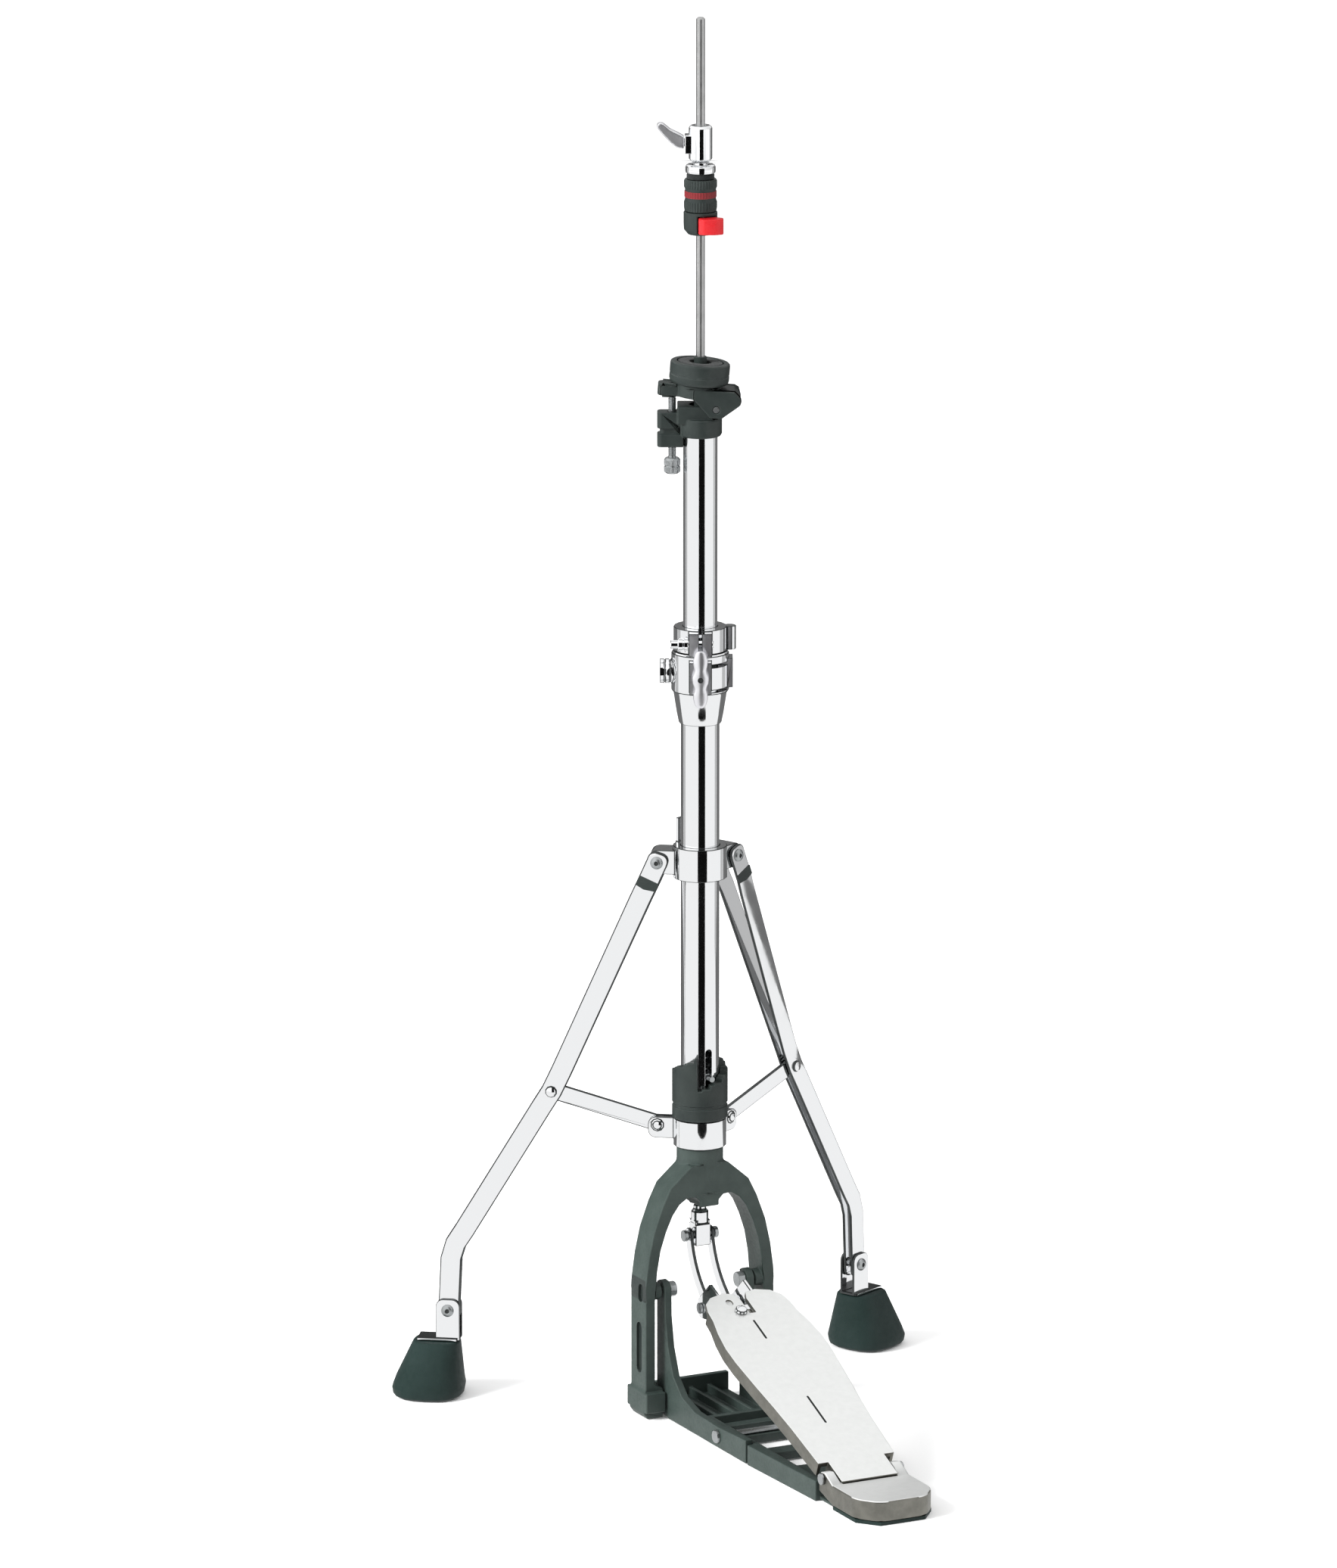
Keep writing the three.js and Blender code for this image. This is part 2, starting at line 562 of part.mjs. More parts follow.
// Boot of rounded square sections [height, distance out, half length, half width], leaning outwards.
function rubberFoot() {
  const half = FOOT.width / 2;
  const sections = [
    [0, FOOT.out, half - 4.5, half - 4.5], [2.5, FOOT.out, half - 0.9, half - 0.9], [8, FOOT.out, half, half],
    [16, FOOT.out - 1, half - 2, half - 2.2], [44, FOOT.out - 6.5, 18.6, 17.6], [45.2, FOOT.out - 6.7, 17.4, 16.4],
  ];
  const sides = 20;
  const squareness = 2 / 2.6;
  const vertices = [];
  for (const [z, out, length, width] of sections) {
    for (let index = 0; index < sides; index += 1) {
      const angle = 2 * Math.PI * index / sides;
      const [c, s] = [Math.cos(angle), Math.sin(angle)];
      vertices.push(out + length * Math.sign(c) * Math.abs(c) ** squareness,
        width * Math.sign(s) * Math.abs(s) ** squareness, z);
    }
  }
  const triangles = [];
  for (let level = 0; level + 1 < sections.length; level += 1) {
    for (let index = 0; index < sides; index += 1) {
      const here = level * sides + index;
      const there = level * sides + (index + 1) % sides;
      triangles.push(here, there, there + sides, here, there + sides, here + sides);
    }
  }
  const top = (sections.length - 1) * sides;
  for (let index = 1; index + 1 < sides; index += 1) {
    triangles.push(0, index + 1, index, top, top + index, top + index + 1);
  }
  const geometry = new THREE.BufferGeometry();
  geometry.setAttribute('position', new THREE.BufferAttribute(new Float32Array(vertices), 3));
  geometry.setIndex(triangles);
  return geometry;
}

const KNEE = { out: 194, z: 118 };
const STRAP_END = { out: 198, z: 60 };
const FOOT_SCREW_Z = 70;

// Head of the brace rivet, closed on the outer face of one strap.
function braceStub(side) {
  const face = LEG_STRAP.footSpread + LEG_STRAP.thickness / 2 - 0.3;
  const head = turned([[0, face], [5, face], [3.8, face + 2], [0, face + 2.5]], 10);
  return head.rotateX(-side * Math.PI / 2).translate(BRACE_RIVET.out, 0, BRACE_RIVET.z);
}

for (const [name, azimuth] of Object.entries(LEG_AZIMUTHS)) {
  const leg = turnedGroup(azimuth);
  const spread = LEG_STRAP.hubSpread;
  const close = LEG_STRAP.footSpread;
  const stations = (side) => [
    [LEG_PIVOT.out - 2.5, LEG_PIVOT.z + 7.6, side * spread], [LEG_PIVOT.out, LEG_PIVOT.z, side * spread],
    [40, 420, side * spread], [46, 407, side * (spread - 1.4)],
    [BRACE_RIVET.out - 8, BRACE_RIVET.z + 17, side * close], [BRACE_RIVET.out, BRACE_RIVET.z, side * close],
    [BRACE_RIVET.out + 8, BRACE_RIVET.z - 13, side * close], [185, 135, side * close],
    [KNEE.out - 2, KNEE.z + 6, side * close], [KNEE.out + 1.6, KNEE.z - 6, side * close],
    [STRAP_END.out, STRAP_END.z, side * close],
  ];
  for (const [face, side] of [['front', 1], ['rear', -1]]) {
    const facing = name === 'left' ? side : -side;
    const plain = strap(stations(facing), LEG_STRAP.width, LEG_STRAP.thickness);
    const holes = [LEG_PIVOT, { out: STRAP_END.out, z: FOOT_SCREW_Z }];
    const drills = holes.map(({ out, z }) => rodAlongY(2.9, -15, 15, out, z, 10));
    add(`leg_strap_${face}_${name}`, union(cut(plain, ...drills), braceStub(facing)), CHROME, leg);
  }
  const hubRivet = rivetAlongY(2.6, spread + LEG_STRAP.thickness / 2, LEG_PIVOT.out, LEG_PIVOT.z);
  add(`hub_rivet_${name}`, hubRivet, STEEL, leg);

  const reach = new THREE.Vector2(BRACE_RIVET.out - BRACE_PIVOT.out, BRACE_RIVET.z - BRACE_PIVOT.z);
  const unit = reach.clone().normalize();
  const past = 6;
  const bracePlain = strap([
    [BRACE_PIVOT.out - unit.x * past, BRACE_PIVOT.z - unit.y * past, 0],
    [BRACE_RIVET.out + unit.x * past, BRACE_RIVET.z + unit.y * past, 0],
  ], 13.5, 3);
  const braceHole = rodAlongY(2.9, -5, 5, BRACE_PIVOT.out, BRACE_PIVOT.z, 10);
  add(`leg_brace_${name}`, cut(bracePlain, braceHole), CHROME, leg);

  const half = close + LEG_STRAP.thickness / 2;
  add(`foot_screw_${name}`, rivetAlongY(2.6, half + 2.3, STRAP_END.out, FOOT_SCREW_Z), STEEL, leg);

  const bracketBack = box(STRAP_END.out - 9.5, STRAP_END.out + 9.5, -half - 2.3, half + 2.3, 46, 79);
  const bracketRoom = box(STRAP_END.out - 12, STRAP_END.out + 12, -half - 0.35, half + 0.35, 47.5, 82);
  const bracketHole = rodAlongY(2.9, -9, 9, STRAP_END.out, FOOT_SCREW_Z, 10);
  const bracketBase = box(FOOT.out - 23.5, FOOT.out + 8, -9, 9, 45.5, 47.8);
  add(`foot_bracket_${name}`, cut(union(cut(bracketBack, bracketRoom, bracketHole), bracketBase)), CHROME, leg);

  add(`rubber_foot_${name}`, rubberFoot(), RUBBER, leg);
}

// ---------------------------------------------------------------- height clamp and memory lock

const front = turnedGroup(FRONT_AZIMUTH);

function heightClamp() {
  const body = turned([
    [0, CLAMP.low], [16.4, CLAMP.low], [18, 556], [20.5, 572], [22.2, 574], [22.2, CLAMP.high - 1.5],
    [20.8, CLAMP.high], [0, CLAMP.high],
  ], 20);
  const boltBoss = box(10, 29, -8.5, 8.5, 576, 601);
  const leftBoss = rodAlongY(9.5, -31, -18, 0, 588.5, 16);
  const rightBoss = box(-8, 8, 16, 25, 577, 600);
  const bodyBore = rod(LOWER_TUBE.outer + GAP, CLAMP.low - 1, LOWER_TUBE.top + 0.6, 20);
  const bushRoom = rod(15.6, LOWER_TUBE.top + 0.5, CLAMP.high + 1, 20);
  const slit = box(12, 30, -1, 1, 573, CLAMP.high + 1);
  const slots = [[575.5, 577.5], [595, 597.5]].map(([z0, z1]) => box(8, 23.2, 5, 23, z0, z1));
  const screwBore = rod(4.4, 20, 32, 10).rotateY(Math.PI / 2).translate(0, 0, 589);
  return cut(union(body, boltBoss, leftBoss, rightBoss), bodyBore, bushRoom, slit, screwBore, ...slots);
}

add('height_clamp', heightClamp(), CHROME, front);
add('clamp_bushing', tube(15.2, UPPER_TUBE.outer + 0.2, LOWER_TUBE.top + 1.2, CLAMP.high - 0.6, 20), PLASTIC);

function wingBolt(reach, width, thickness, hubAt, shank, radius) {
  const shaft = turned([[0, 0], [radius, 0], [radius, shank], [0, shank]], 10).rotateY(Math.PI / 2);
  return union(shaft.translate(hubAt - shank, 0, 0), wings(reach, width, thickness).translate(hubAt, 0, 0));
}

const clampWing = wingBolt(22.5, 13, 6, 33, 11, 3.8);
add('height_wing_bolt', clampWing.translate(0, 0, 589), CHROME, front);

function memoryLock() {
  const ring = tube(20.5, UPPER_TUBE.outer + 0.3, MEMORY.low, MEMORY.high, 20);
  const ears = box(12, 27.5, -9, 9, MEMORY.low, MEMORY.high - 0.5);
  const slit = box(11, 30, -1.2, 1.2, MEMORY.low - 1, MEMORY.high + 1);
  const bore = rod(UPPER_TUBE.outer + 0.3, 600, 630, 20);
  const hingeBarrel = rod(5, MEMORY.low, MEMORY.high, 10).translate(-2, 22.6, 0);
  const boltBore = rodAlongY(3.3, -12, 12, 23, 614.5, 10);
  return cut(union(ring, ears, hingeBarrel), slit, bore, boltBore);
}

add('memory_lock', memoryLock(), CHROME, front);
const keyBolt = turned([[0, -10], [2.9, -10], [2.9, 9.4], [5, 9.4], [5, 17], [3.4, 17.5], [3.4, 23], [0, 23]], 10);
add('memory_key_bolt', keyBolt.rotateX(Math.PI / 2).translate(23, 0, 614.5), CHROME, front);

// ---------------------------------------------------------------- upper tube and seat

add('upper_tube', tube(UPPER_TUBE.outer, UPPER_TUBE.inner, UPPER_TUBE.bottom, UPPER_TUBE.top, 20), CHROME);

// In this group +X points to the camera side and +Y to the hinge side of the seat.
function seatBase() {
  const socket = turned([[0, 773], [15.6, 773], [16.6, 775], [16.6, 786.5], [15.6, 787.5], [0, 787.5]], 20);
  const screwArm = box(-7.5, 7.5, -33, -13, 765, 792);
  const tower = box(-12.6, 12.6, -17.6, 9, 784, 797.5);
  const hingeLug = rodAlongX(6.4, -12.6, 12.6, SEAT_PIVOT.out, SEAT_PIVOT.z, 16);
  const bore = rod(UPPER_TUBE.outer + 0.3, 760, UPPER_TUBE.top + 0.4, 20);
  const rodHole = rod(8.4, 780, 810, 16);
  const screwHole = rod(3.4, 760, 800, 10).translate(0, TILT_SCREW_Y, 0);
  const pivotHole = rodAlongX(2.9, -20, 20, SEAT_PIVOT.out, SEAT_PIVOT.z, 10);
  return cut(union(socket, screwArm, tower, hingeLug), bore, rodHole, screwHole, pivotHole);
}

add('seat_base', seatBase(), CAST, front);

// Rod guide in the tube's top. Its sleeve stands up through the seat, so the seat tilts round it.
const rodGuide = turned([
  [ROD_RADIUS + 0.3, 765], [11.4, 765], [11.4, 785.6], [GUIDE_RADIUS, 785.6], [GUIDE_RADIUS, 834.5],
  [ROD_RADIUS + 0.3, 834.5], [ROD_RADIUS + 0.3, 765],
], 16);
add('rod_guide_sleeve', rodGuide, PLASTIC);
const tiltPin = turned([[0, -17], [2.5, -17], [2.5, 17], [0, 17]], 10);
add('tilt_hinge_pin', tiltPin.rotateY(Math.PI / 2).translate(0, SEAT_PIVOT.out, SEAT_PIVOT.z), STEEL, front);

const seat = new THREE.Group();
seat.position.set(0, SEAT_PIVOT.out, SEAT_PIVOT.z);
seat.rotation.x = -SEAT_TILT;
front.add(seat);

// The tilted cup stands centred on the rod at the height of its felt.
const FELT_HEIGHT = 33;
const CUP_CENTRE = -(SEAT_PIVOT.out + FELT_HEIGHT * Math.sin(SEAT_TILT)) / Math.cos(SEAT_TILT);

function seatTiltPlate() {
  const arm = box(-8.4, 8.4, -44, -20, 6.6, 14);
  const lobe = box(-7.5, 7.5, -45.5, -33, 6, 15.5);
  const hub = rod(17.4, 6.6, 16.6, 20).translate(0, CUP_CENTRE, 0);
  const cheek = [
    [-18.5, 7], [-18.5, 14.5], [13, 14.5], [18.6, 9.5], [17.6, 4.4], [4.5, -6.6], [-4.5, -6.6], [-12, 1],
  ];
  const cheeks = [[13.1, 17.4], [-17.4, -13.1]].map(([x0, x1]) => plateYZ(cheek, x0, x1));
  const nose = [
    [8, 2.6], [14, 2.6], [17.4, 5], [18.4, 9.4], [13, 14.3], [-3, 14.3], [-3, 7], [2.5, 7], [7, 3],
  ];
  const wedge = plateYZ(nose, -17, 17);
  const rodHole = rod(SEAT_HOLE, -8, 20, 16).translate(0, CUP_CENTRE, 0);
  const pivotHole = rodAlongX(2.9, -18, 18, 0, 0, 10);
  const tipRoom = rod(4.2, 0, 11, 10).translate(0, TILT_SCREW_Y - SEAT_PIVOT.out, 0);
  return cut(union(arm, lobe, hub, ...cheeks, wedge), rodHole, pivotHole, tipRoom);
}

add('seat_tilt_plate', seatTiltPlate(), CAST, seat);
const cup = turned([
  [SEAT_HOLE, 16.9], [19.5, 16.9], [22.4, 18], [22.9, 19.6], [22.9, 32], [22, 33.6], [18, 33.6], [18, 27],
  [SEAT_HOLE, 27], [SEAT_HOLE, 16.9],
], 20);
add('seat_cup', cup.translate(0, CUP_CENTRE, 0), PLASTIC, seat);
add('seat_felt', tube(17.6, SEAT_HOLE, 27.4, 33.6, 20).translate(0, CUP_CENTRE, 0), FELT, seat);

const thumbScrew = turned([
  [0, 743.6], [5, 743.6], [6.3, 745], [6.3, 754.4], [5, 756], [3, 756], [3, 804], [0, 804.6],
], 16);
add('tilt_thumb_screw', thumbScrew.translate(0, TILT_SCREW_Y, 0), CHROME, front);


// ---------------------------------------------------------------- clutch

function clutchSleeve() {
  const upper = turned([
    [0, 985], [6, 985], [9, 987.5], [9, 1011.5], [7.6, 1013.2], [0, 1013.2],
  ], 20);
  const stem = rod(6, 958, 986, 16);
  const boss = box(-6, 6, -12, 0, 992, 1006);
  const bore = rod(ROD_RADIUS + 0.35, 950, 1020, 16);
  const screwBore = rodAlongY(3.2, -20, -3, 0, 1000, 10);
  return cut(union(upper, stem, boss), bore, screwBore);
}

add('clutch_sleeve', clutchSleeve(), CHROME, front);
// Screw with one swept wing, drawn in Y and Z round the screw's axis.
function clutchWing() {
  const blade = [
    [-12.6, -4.6], [-12.6, 5], [-17, 7.6], [-23, 10.4], [-28.5, 15], [-31, 15.6], [-33, 14], [-33.2, 11.6],
    [-29, 6.6], [-23.5, 0.6], [-18.5, -3.4],
  ];
  const screw = rodAlongY(2.8, -16, -6, 0, 0, 10);
  return union(screw, plateYZ(blade, -4, 4));
}

add('clutch_wing_screw', clutchWing().translate(0, 0, 1000), CHROME, front);
const flangeNut = turned([
  [6.4, 976.4], [10.4, 976.4], [11.6, 978], [11.6, 981.4], [10.2, 983], [6.4, 983], [6.4, 976.4],
], 20);
add('clutch_flange_nut', flangeNut, CHROME);
add('clutch_felt', tube(10.6, 6.4, 972.4, 976, 20), FELT);
const knurlBody = turned([
  [6.4, 947.4], [12.2, 947.4], [12.6, 951], [12.6, 955], [11.8, 957], [11.8, 964], [12.6, 966],
  [12.6, 971], [11.6, 972], [6.4, 972], [6.4, 947.4],
], 20);
add('quick_release_body', knurlBody, PLASTIC);

function releaseHousing() {
  const shell = turned([[0, 929.4], [9.5, 929.4], [12.6, 933], [12.9, 938], [12.9, 947], [0, 947]], 20);
  const bore = rod(6.6, 928, 948, 16);
  const window = box(3.5, 20, -2.4, 19, 930.8, 944.6);
  return cut(shell, bore, window);
}

add('quick_release_housing', releaseHousing(), PLASTIC, front);

function releaseLever() {
  const block = [
    [7.4, -1.6], [16, -1.6], [18.4, 2], [18.4, 11], [15.5, 17.4], [9.6, 17.4], [7.4, 12],
  ];
  return plateXY(block, 931.5, 943.8);
}

add('release_lever', releaseLever(), RED, front);

export default stand;
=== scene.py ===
import json
import math

import bmesh
import bpy
from mathutils import Matrix, Vector


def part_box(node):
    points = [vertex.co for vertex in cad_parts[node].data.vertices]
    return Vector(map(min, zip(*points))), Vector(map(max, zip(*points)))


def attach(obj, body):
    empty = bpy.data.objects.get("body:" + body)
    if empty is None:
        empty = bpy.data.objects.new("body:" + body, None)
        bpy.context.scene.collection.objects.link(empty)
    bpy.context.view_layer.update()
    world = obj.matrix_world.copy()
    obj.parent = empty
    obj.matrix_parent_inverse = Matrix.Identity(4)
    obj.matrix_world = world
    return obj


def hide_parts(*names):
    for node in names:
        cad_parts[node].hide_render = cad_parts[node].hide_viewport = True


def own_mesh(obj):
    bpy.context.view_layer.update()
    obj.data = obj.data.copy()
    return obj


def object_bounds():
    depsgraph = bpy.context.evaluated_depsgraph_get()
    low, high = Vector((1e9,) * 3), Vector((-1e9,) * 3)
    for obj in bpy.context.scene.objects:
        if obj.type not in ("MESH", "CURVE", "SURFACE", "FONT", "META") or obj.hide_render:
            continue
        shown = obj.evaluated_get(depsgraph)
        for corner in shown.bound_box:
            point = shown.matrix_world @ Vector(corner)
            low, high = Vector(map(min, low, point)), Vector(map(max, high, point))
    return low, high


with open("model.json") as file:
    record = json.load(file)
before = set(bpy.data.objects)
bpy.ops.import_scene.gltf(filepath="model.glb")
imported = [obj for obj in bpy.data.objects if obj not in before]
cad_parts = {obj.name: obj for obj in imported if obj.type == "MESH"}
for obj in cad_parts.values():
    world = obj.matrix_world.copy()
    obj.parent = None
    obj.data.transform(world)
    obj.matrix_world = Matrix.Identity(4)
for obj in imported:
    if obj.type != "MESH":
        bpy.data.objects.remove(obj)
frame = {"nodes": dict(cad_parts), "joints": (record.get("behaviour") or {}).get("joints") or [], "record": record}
cad_low, cad_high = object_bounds()

MM = 0.001
BODIES = frame["record"]["behaviour"]["bodies"]
BODY_OF = {node: body for body, members in BODIES.items() for node in members}
SLOT_OF = {part["node"]: part["material_slot"] for part in frame["record"]["subparts"]}
JOINTS = {joint["name"]: joint for joint in frame["joints"]}


# ---------------------------------------------------------------- places taken from the frame

def joint_place(name):
    return Vector(JOINTS[name]["pos_m"])


def turn(degrees, axis):
    return Matrix.Rotation(math.radians(degrees), 4, axis)


def shift(x, y, z):
    return Matrix.Translation(Vector((x, y, z)) * MM)


FRONT_AZIMUTH = -116.5
BOARD_TILT = 22.1
SEAT_TILT = -4.5
LEG_AZIMUTHS = {"right": 24.8, "left": 144.8}

FRONT = turn(FRONT_AZIMUTH, "Z")
BOARD = Matrix.Translation(joint_place("pedal_press")) @ turn(BOARD_TILT, "X")
SEAT = (Matrix.Translation(joint_place("seat_tilt")) @ turn(FRONT_AZIMUTH, "Z")
        @ turn(SEAT_TILT, "X"))
WORLD = Matrix.Identity(4)


# ---------------------------------------------------------------- materials

def new_material(name, color, metallic, roughness):
    material = bpy.data.materials.new(name)
    material.use_nodes = True
    shader = material.node_tree.nodes["Principled BSDF"]
    shader.inputs["Base Color"].default_value = (*color, 1)
    shader.inputs["Metallic"].default_value = metallic
    shader.inputs["Roughness"].default_value = roughness
    return material


def add_node(material, kind, **values):
    node = material.node_tree.nodes.new(kind)
    for key, value in values.items():
        if key in node.inputs:
            node.inputs[key].default_value = value
        else:
            setattr(node, key, value)
    return node


def join(material, source, target):
    material.node_tree.links.new(source, target)


def noise(material, scale, detail=3, stretch=(1, 1, 1), rough=0.55):
    """Noise in the piece's own coordinates, in metres, so it rides with the piece."""
    place = add_node(material, "ShaderNodeTexCoord")
    mapping = add_node(material, "ShaderNodeMapping")
    mapping.inputs["Scale"].default_value = stretch
    texture = add_node(material, "ShaderNodeTexNoise", Scale=scale, Detail=detail, Roughness=rough)
    join(material, place.outputs["Object"], mapping.inputs["Vector"])
    join(material, mapping.outputs["Vector"], texture.inputs["Vector"])
    return texture.outputs["Fac"]


def spread(material, value, low, high, start=0.3, end=0.7):
    node = add_node(material, "ShaderNodeMapRange")
    node.inputs["From Min"].default_value = start
    node.inputs["From Max"].default_value = end
    node.inputs["To Min"].default_value = low
    node.inputs["To Max"].default_value = high
    join(material, value, node.inputs["Value"])
    return node.outputs["Result"]


def mix_colors(material, factor, first, second):
    """Blend of two colours. The first may also be another node's output."""
    node = add_node(material, "ShaderNodeMix", data_type="RGBA")
    under, over = (next(socket for socket in node.inputs
                        if socket.type == "RGBA" and socket.name == name) for name in "AB")
    if isinstance(first, tuple):
        under.default_value = (*first, 1)
    else:
        join(material, first, under)
    over.default_value = (*second, 1)
    join(material, factor, node.inputs["Factor"])
    return [socket for socket in node.outputs if socket.type == "RGBA"][0]


def shader_of(material):
    return material.node_tree.nodes["Principled BSDF"]


def bump(material, height, strength, distance):
    node = add_node(material, "ShaderNodeBump", Strength=strength, Distance=distance)
    join(material, height, node.inputs["Height"])
    join(material, node.outputs["Normal"], shader_of(material).inputs["Normal"])


def edge_wear(material, radius):
    """Mask that is 1 on outside edges, where handling has polished the surface."""
    bevel = add_node(material, "ShaderNodeBevel", Radius=radius, samples=4)
    geometry = add_node(material, "ShaderNodeNewGeometry")
    dot = add_node(material, "ShaderNodeVectorMath", operation="DOT_PRODUCT")
    join(material, bevel.outputs["Normal"], dot.inputs[0])
    join(material, geometry.outputs["Normal"], dot.inputs[1])
    return spread(material, dot.outputs["Value"], 1, 0, 0.86, 0.995)


def chrome_material(name, color, low, high):
    material = new_material(name, color, 1, 0.08)
    smudge = noise(material, 38, 4)
    join(material, spread(material, smudge, low, high), shader_of(material).inputs["Roughness"])
    bump(material, noise(material, 240, 2), 0.02, 0.0002)
    return material


def metal_grain(name, color, other, low, high, scale, stretch, strength):
    material = new_material(name, color, 1, 0.4)
    tone = noise(material, scale * 0.12, 3)
    join(material, mix_colors(material, spread(material, tone, 0, 1), color, other),
         shader_of(material).inputs["Base Color"])
    grain = noise(material, scale, 3, stretch)
    join(material, spread(material, grain, low, high), shader_of(material).inputs["Roughness"])
    bump(material, grain, strength, 0.0002)
    return material


def coated_material(name, color, other, worn, roughness, scale, strength, sheen=0.0, gloss=0.3):
    material = new_material(name, color, 0, roughness)
    clouds = spread(material, noise(material, scale * 0.05, 4), 0, 1)
    tone = mix_colors(material, clouds, color, other)
    wear = edge_wear(material, 0.0007)
    patchy = add_node(material, "ShaderNodeMath", operation="MULTIPLY")
    join(material, wear, patchy.inputs[0])
    join(material, spread(material, noise(material, 160, 3), 0.1, 0.75), patchy.inputs[1])
    join(material, mix_colors(material, patchy.outputs[0], tone, worn),
         shader_of(material).inputs["Base Color"])
    polish = noise(material, scale * 0.3, 3)
    join(material, spread(material, polish, roughness - 0.07, roughness + 0.08),
         shader_of(material).inputs["Roughness"])
    bump(material, noise(material, scale, 2), strength, 0.0003)
    if sheen:
        shader_of(material).inputs["Sheen Weight"].default_value = sheen
    shader_of(material).inputs["Specular IOR Level"].default_value = gloss
    return material


CHROME = chrome_material("chrome_plate", (0.93, 0.94, 0.95), 0.03, 0.09)
SATIN = metal_grain("ground_rod", (0.5, 0.5, 0.5), (0.42, 0.425, 0.42), 0.26, 0.38,
                    700, (6, 6, 0.15), 0.05)
# Near-black metal for painted dark reflections on rounded edges and painted shade inside the lower tube's bore.
PAINTED_DARK_METAL = metal_grain("painted_dark_reflection_and_shade", (0.1, 0.107, 0.107), (0.06, 0.065, 0.065), 0.24, 0.4,
                         500, (1, 1, 1), 0.06)
SOFT_CHROME = chrome_material("polished_casting", (0.9, 0.9, 0.93), 0.26, 0.38)
STEEL = metal_grain("zinc_steel", (0.5, 0.52, 0.53), (0.38, 0.4, 0.4), 0.25, 0.42,
                    900, (1, 1, 1), 0.08)
CAST = coated_material("grey_green_casting", (0.028, 0.04, 0.036), (0.038, 0.052, 0.047),
                       (0.13, 0.15, 0.14), 0.46, 1500, 0.12)
SEAT_CAST = coated_material("black_casting", (0.013, 0.018, 0.017), (0.02, 0.026, 0.024),
                            (0.08, 0.09, 0.085), 0.4, 1500, 0.12)
PLASTIC = coated_material("black_nylon", (0.013, 0.018, 0.017), (0.02, 0.026, 0.024),
                          (0.07, 0.08, 0.078), 0.4, 1200, 0.08)
RUBBER = coated_material("black_rubber", (0.006, 0.016, 0.014), (0.01, 0.022, 0.02),
                         (0.04, 0.055, 0.05), 0.6, 700, 0.2)
FELT = coated_material("dark_felt", (0.008, 0.01, 0.01), (0.018, 0.02, 0.02),
                       (0.03, 0.033, 0.033), 0.95, 2600, 0.6, 0.08, 0.1)
RED = coated_material("red_plastic", (0.46, 0.012, 0.016), (0.4, 0.01, 0.014),
                      (0.75, 0.06, 0.06), 0.3, 800, 0.03)
DARK_RED = coated_material("dark_red_band", (0.16, 0.012, 0.016), (0.12, 0.01, 0.012),
                           (0.3, 0.04, 0.04), 0.5, 800, 0.05)
BOARD_METAL = metal_grain("brushed_aluminium", (0.82, 0.83, 0.82), (0.785, 0.795, 0.785),
                          0.36, 0.5, 1500, (2.4, 0.12, 1), 0.1)
# Darker copy of the board's aluminium for faces that don't face up: painted shade.
SHADED_FLANK_METAL = metal_grain("painted_shade_flank_aluminium", (0.27, 0.265, 0.235), (0.2, 0.197, 0.175),
                          0.35, 0.48, 900, (1, 1, 1), 0.08)
shader_of(BOARD_METAL).inputs["Metallic"].default_value = 0.75
# Near-black for painted shade in grooves, drilled rivet centres and the wing bolt's hole.
PAINTED_RECESS_SHADE = new_material("painted_recess_shade", (0.02, 0.022, 0.022), 0, 0.7)

MATERIAL_OF_SLOT = {
    "chrome": CHROME, "bare_steel": STEEL, "cast_metal": CAST, "cast_aluminium": BOARD_METAL,
    "rubber": RUBBER, "nylon": PLASTIC, "felt": FELT, "red_plastic": RED,
}


# ---------------------------------------------------------------- mesh building

TURNED_SHARP = 32
FLAT_ANGLE = math.radians(0.6)
BRACE_RIVET = (116, 250)
RIVET_HEAD = 5.6
done = set()


def make_object(name, bm, materials, body, nodes=(), sharp=35, bevel=0):
    """Turns a bmesh in row-frame metres into a piece that rides on a body."""
    bmesh.ops.remove_doubles(bm, verts=bm.verts, dist=2e-6)
    if bevel:
        bevel_edges(bm, bevel)
    for vertex in bm.verts:
        vertex.co.z = max(vertex.co.z, cad_low.z)
    bmesh.ops.recalc_face_normals(bm, faces=bm.faces)
    mesh = bpy.data.meshes.new(name)
    bm.to_mesh(mesh)
    bm.free()
    mesh.shade_smooth()
    mesh.set_sharp_from_angle(angle=math.radians(sharp))
    piece = bpy.data.objects.new(name, mesh)
    bpy.context.scene.collection.objects.link(piece)
    for material in materials if isinstance(materials, (list, tuple)) else [materials]:
        mesh.materials.append(material)
    weighted = piece.modifiers.new("weighted", "WEIGHTED_NORMAL")
    weighted.keep_sharp = True
    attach(piece, body)
    if nodes:
        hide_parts(*nodes)
    return piece


def bevel_edges(bm, width, segments=2, angle=30, material=-1, chosen=None):
    edges = [edge for edge in bm.edges
             if len(edge.link_faces) == 2 and edge.calc_face_angle(0) > math.radians(angle)
             and (chosen is None or chosen(edge))]
    bmesh.ops.bevel(bm, geom=edges, offset=width * MM, offset_type="OFFSET", segments=segments,
                    profile=0.5, affect="EDGES", clamp_overlap=False, material=material)


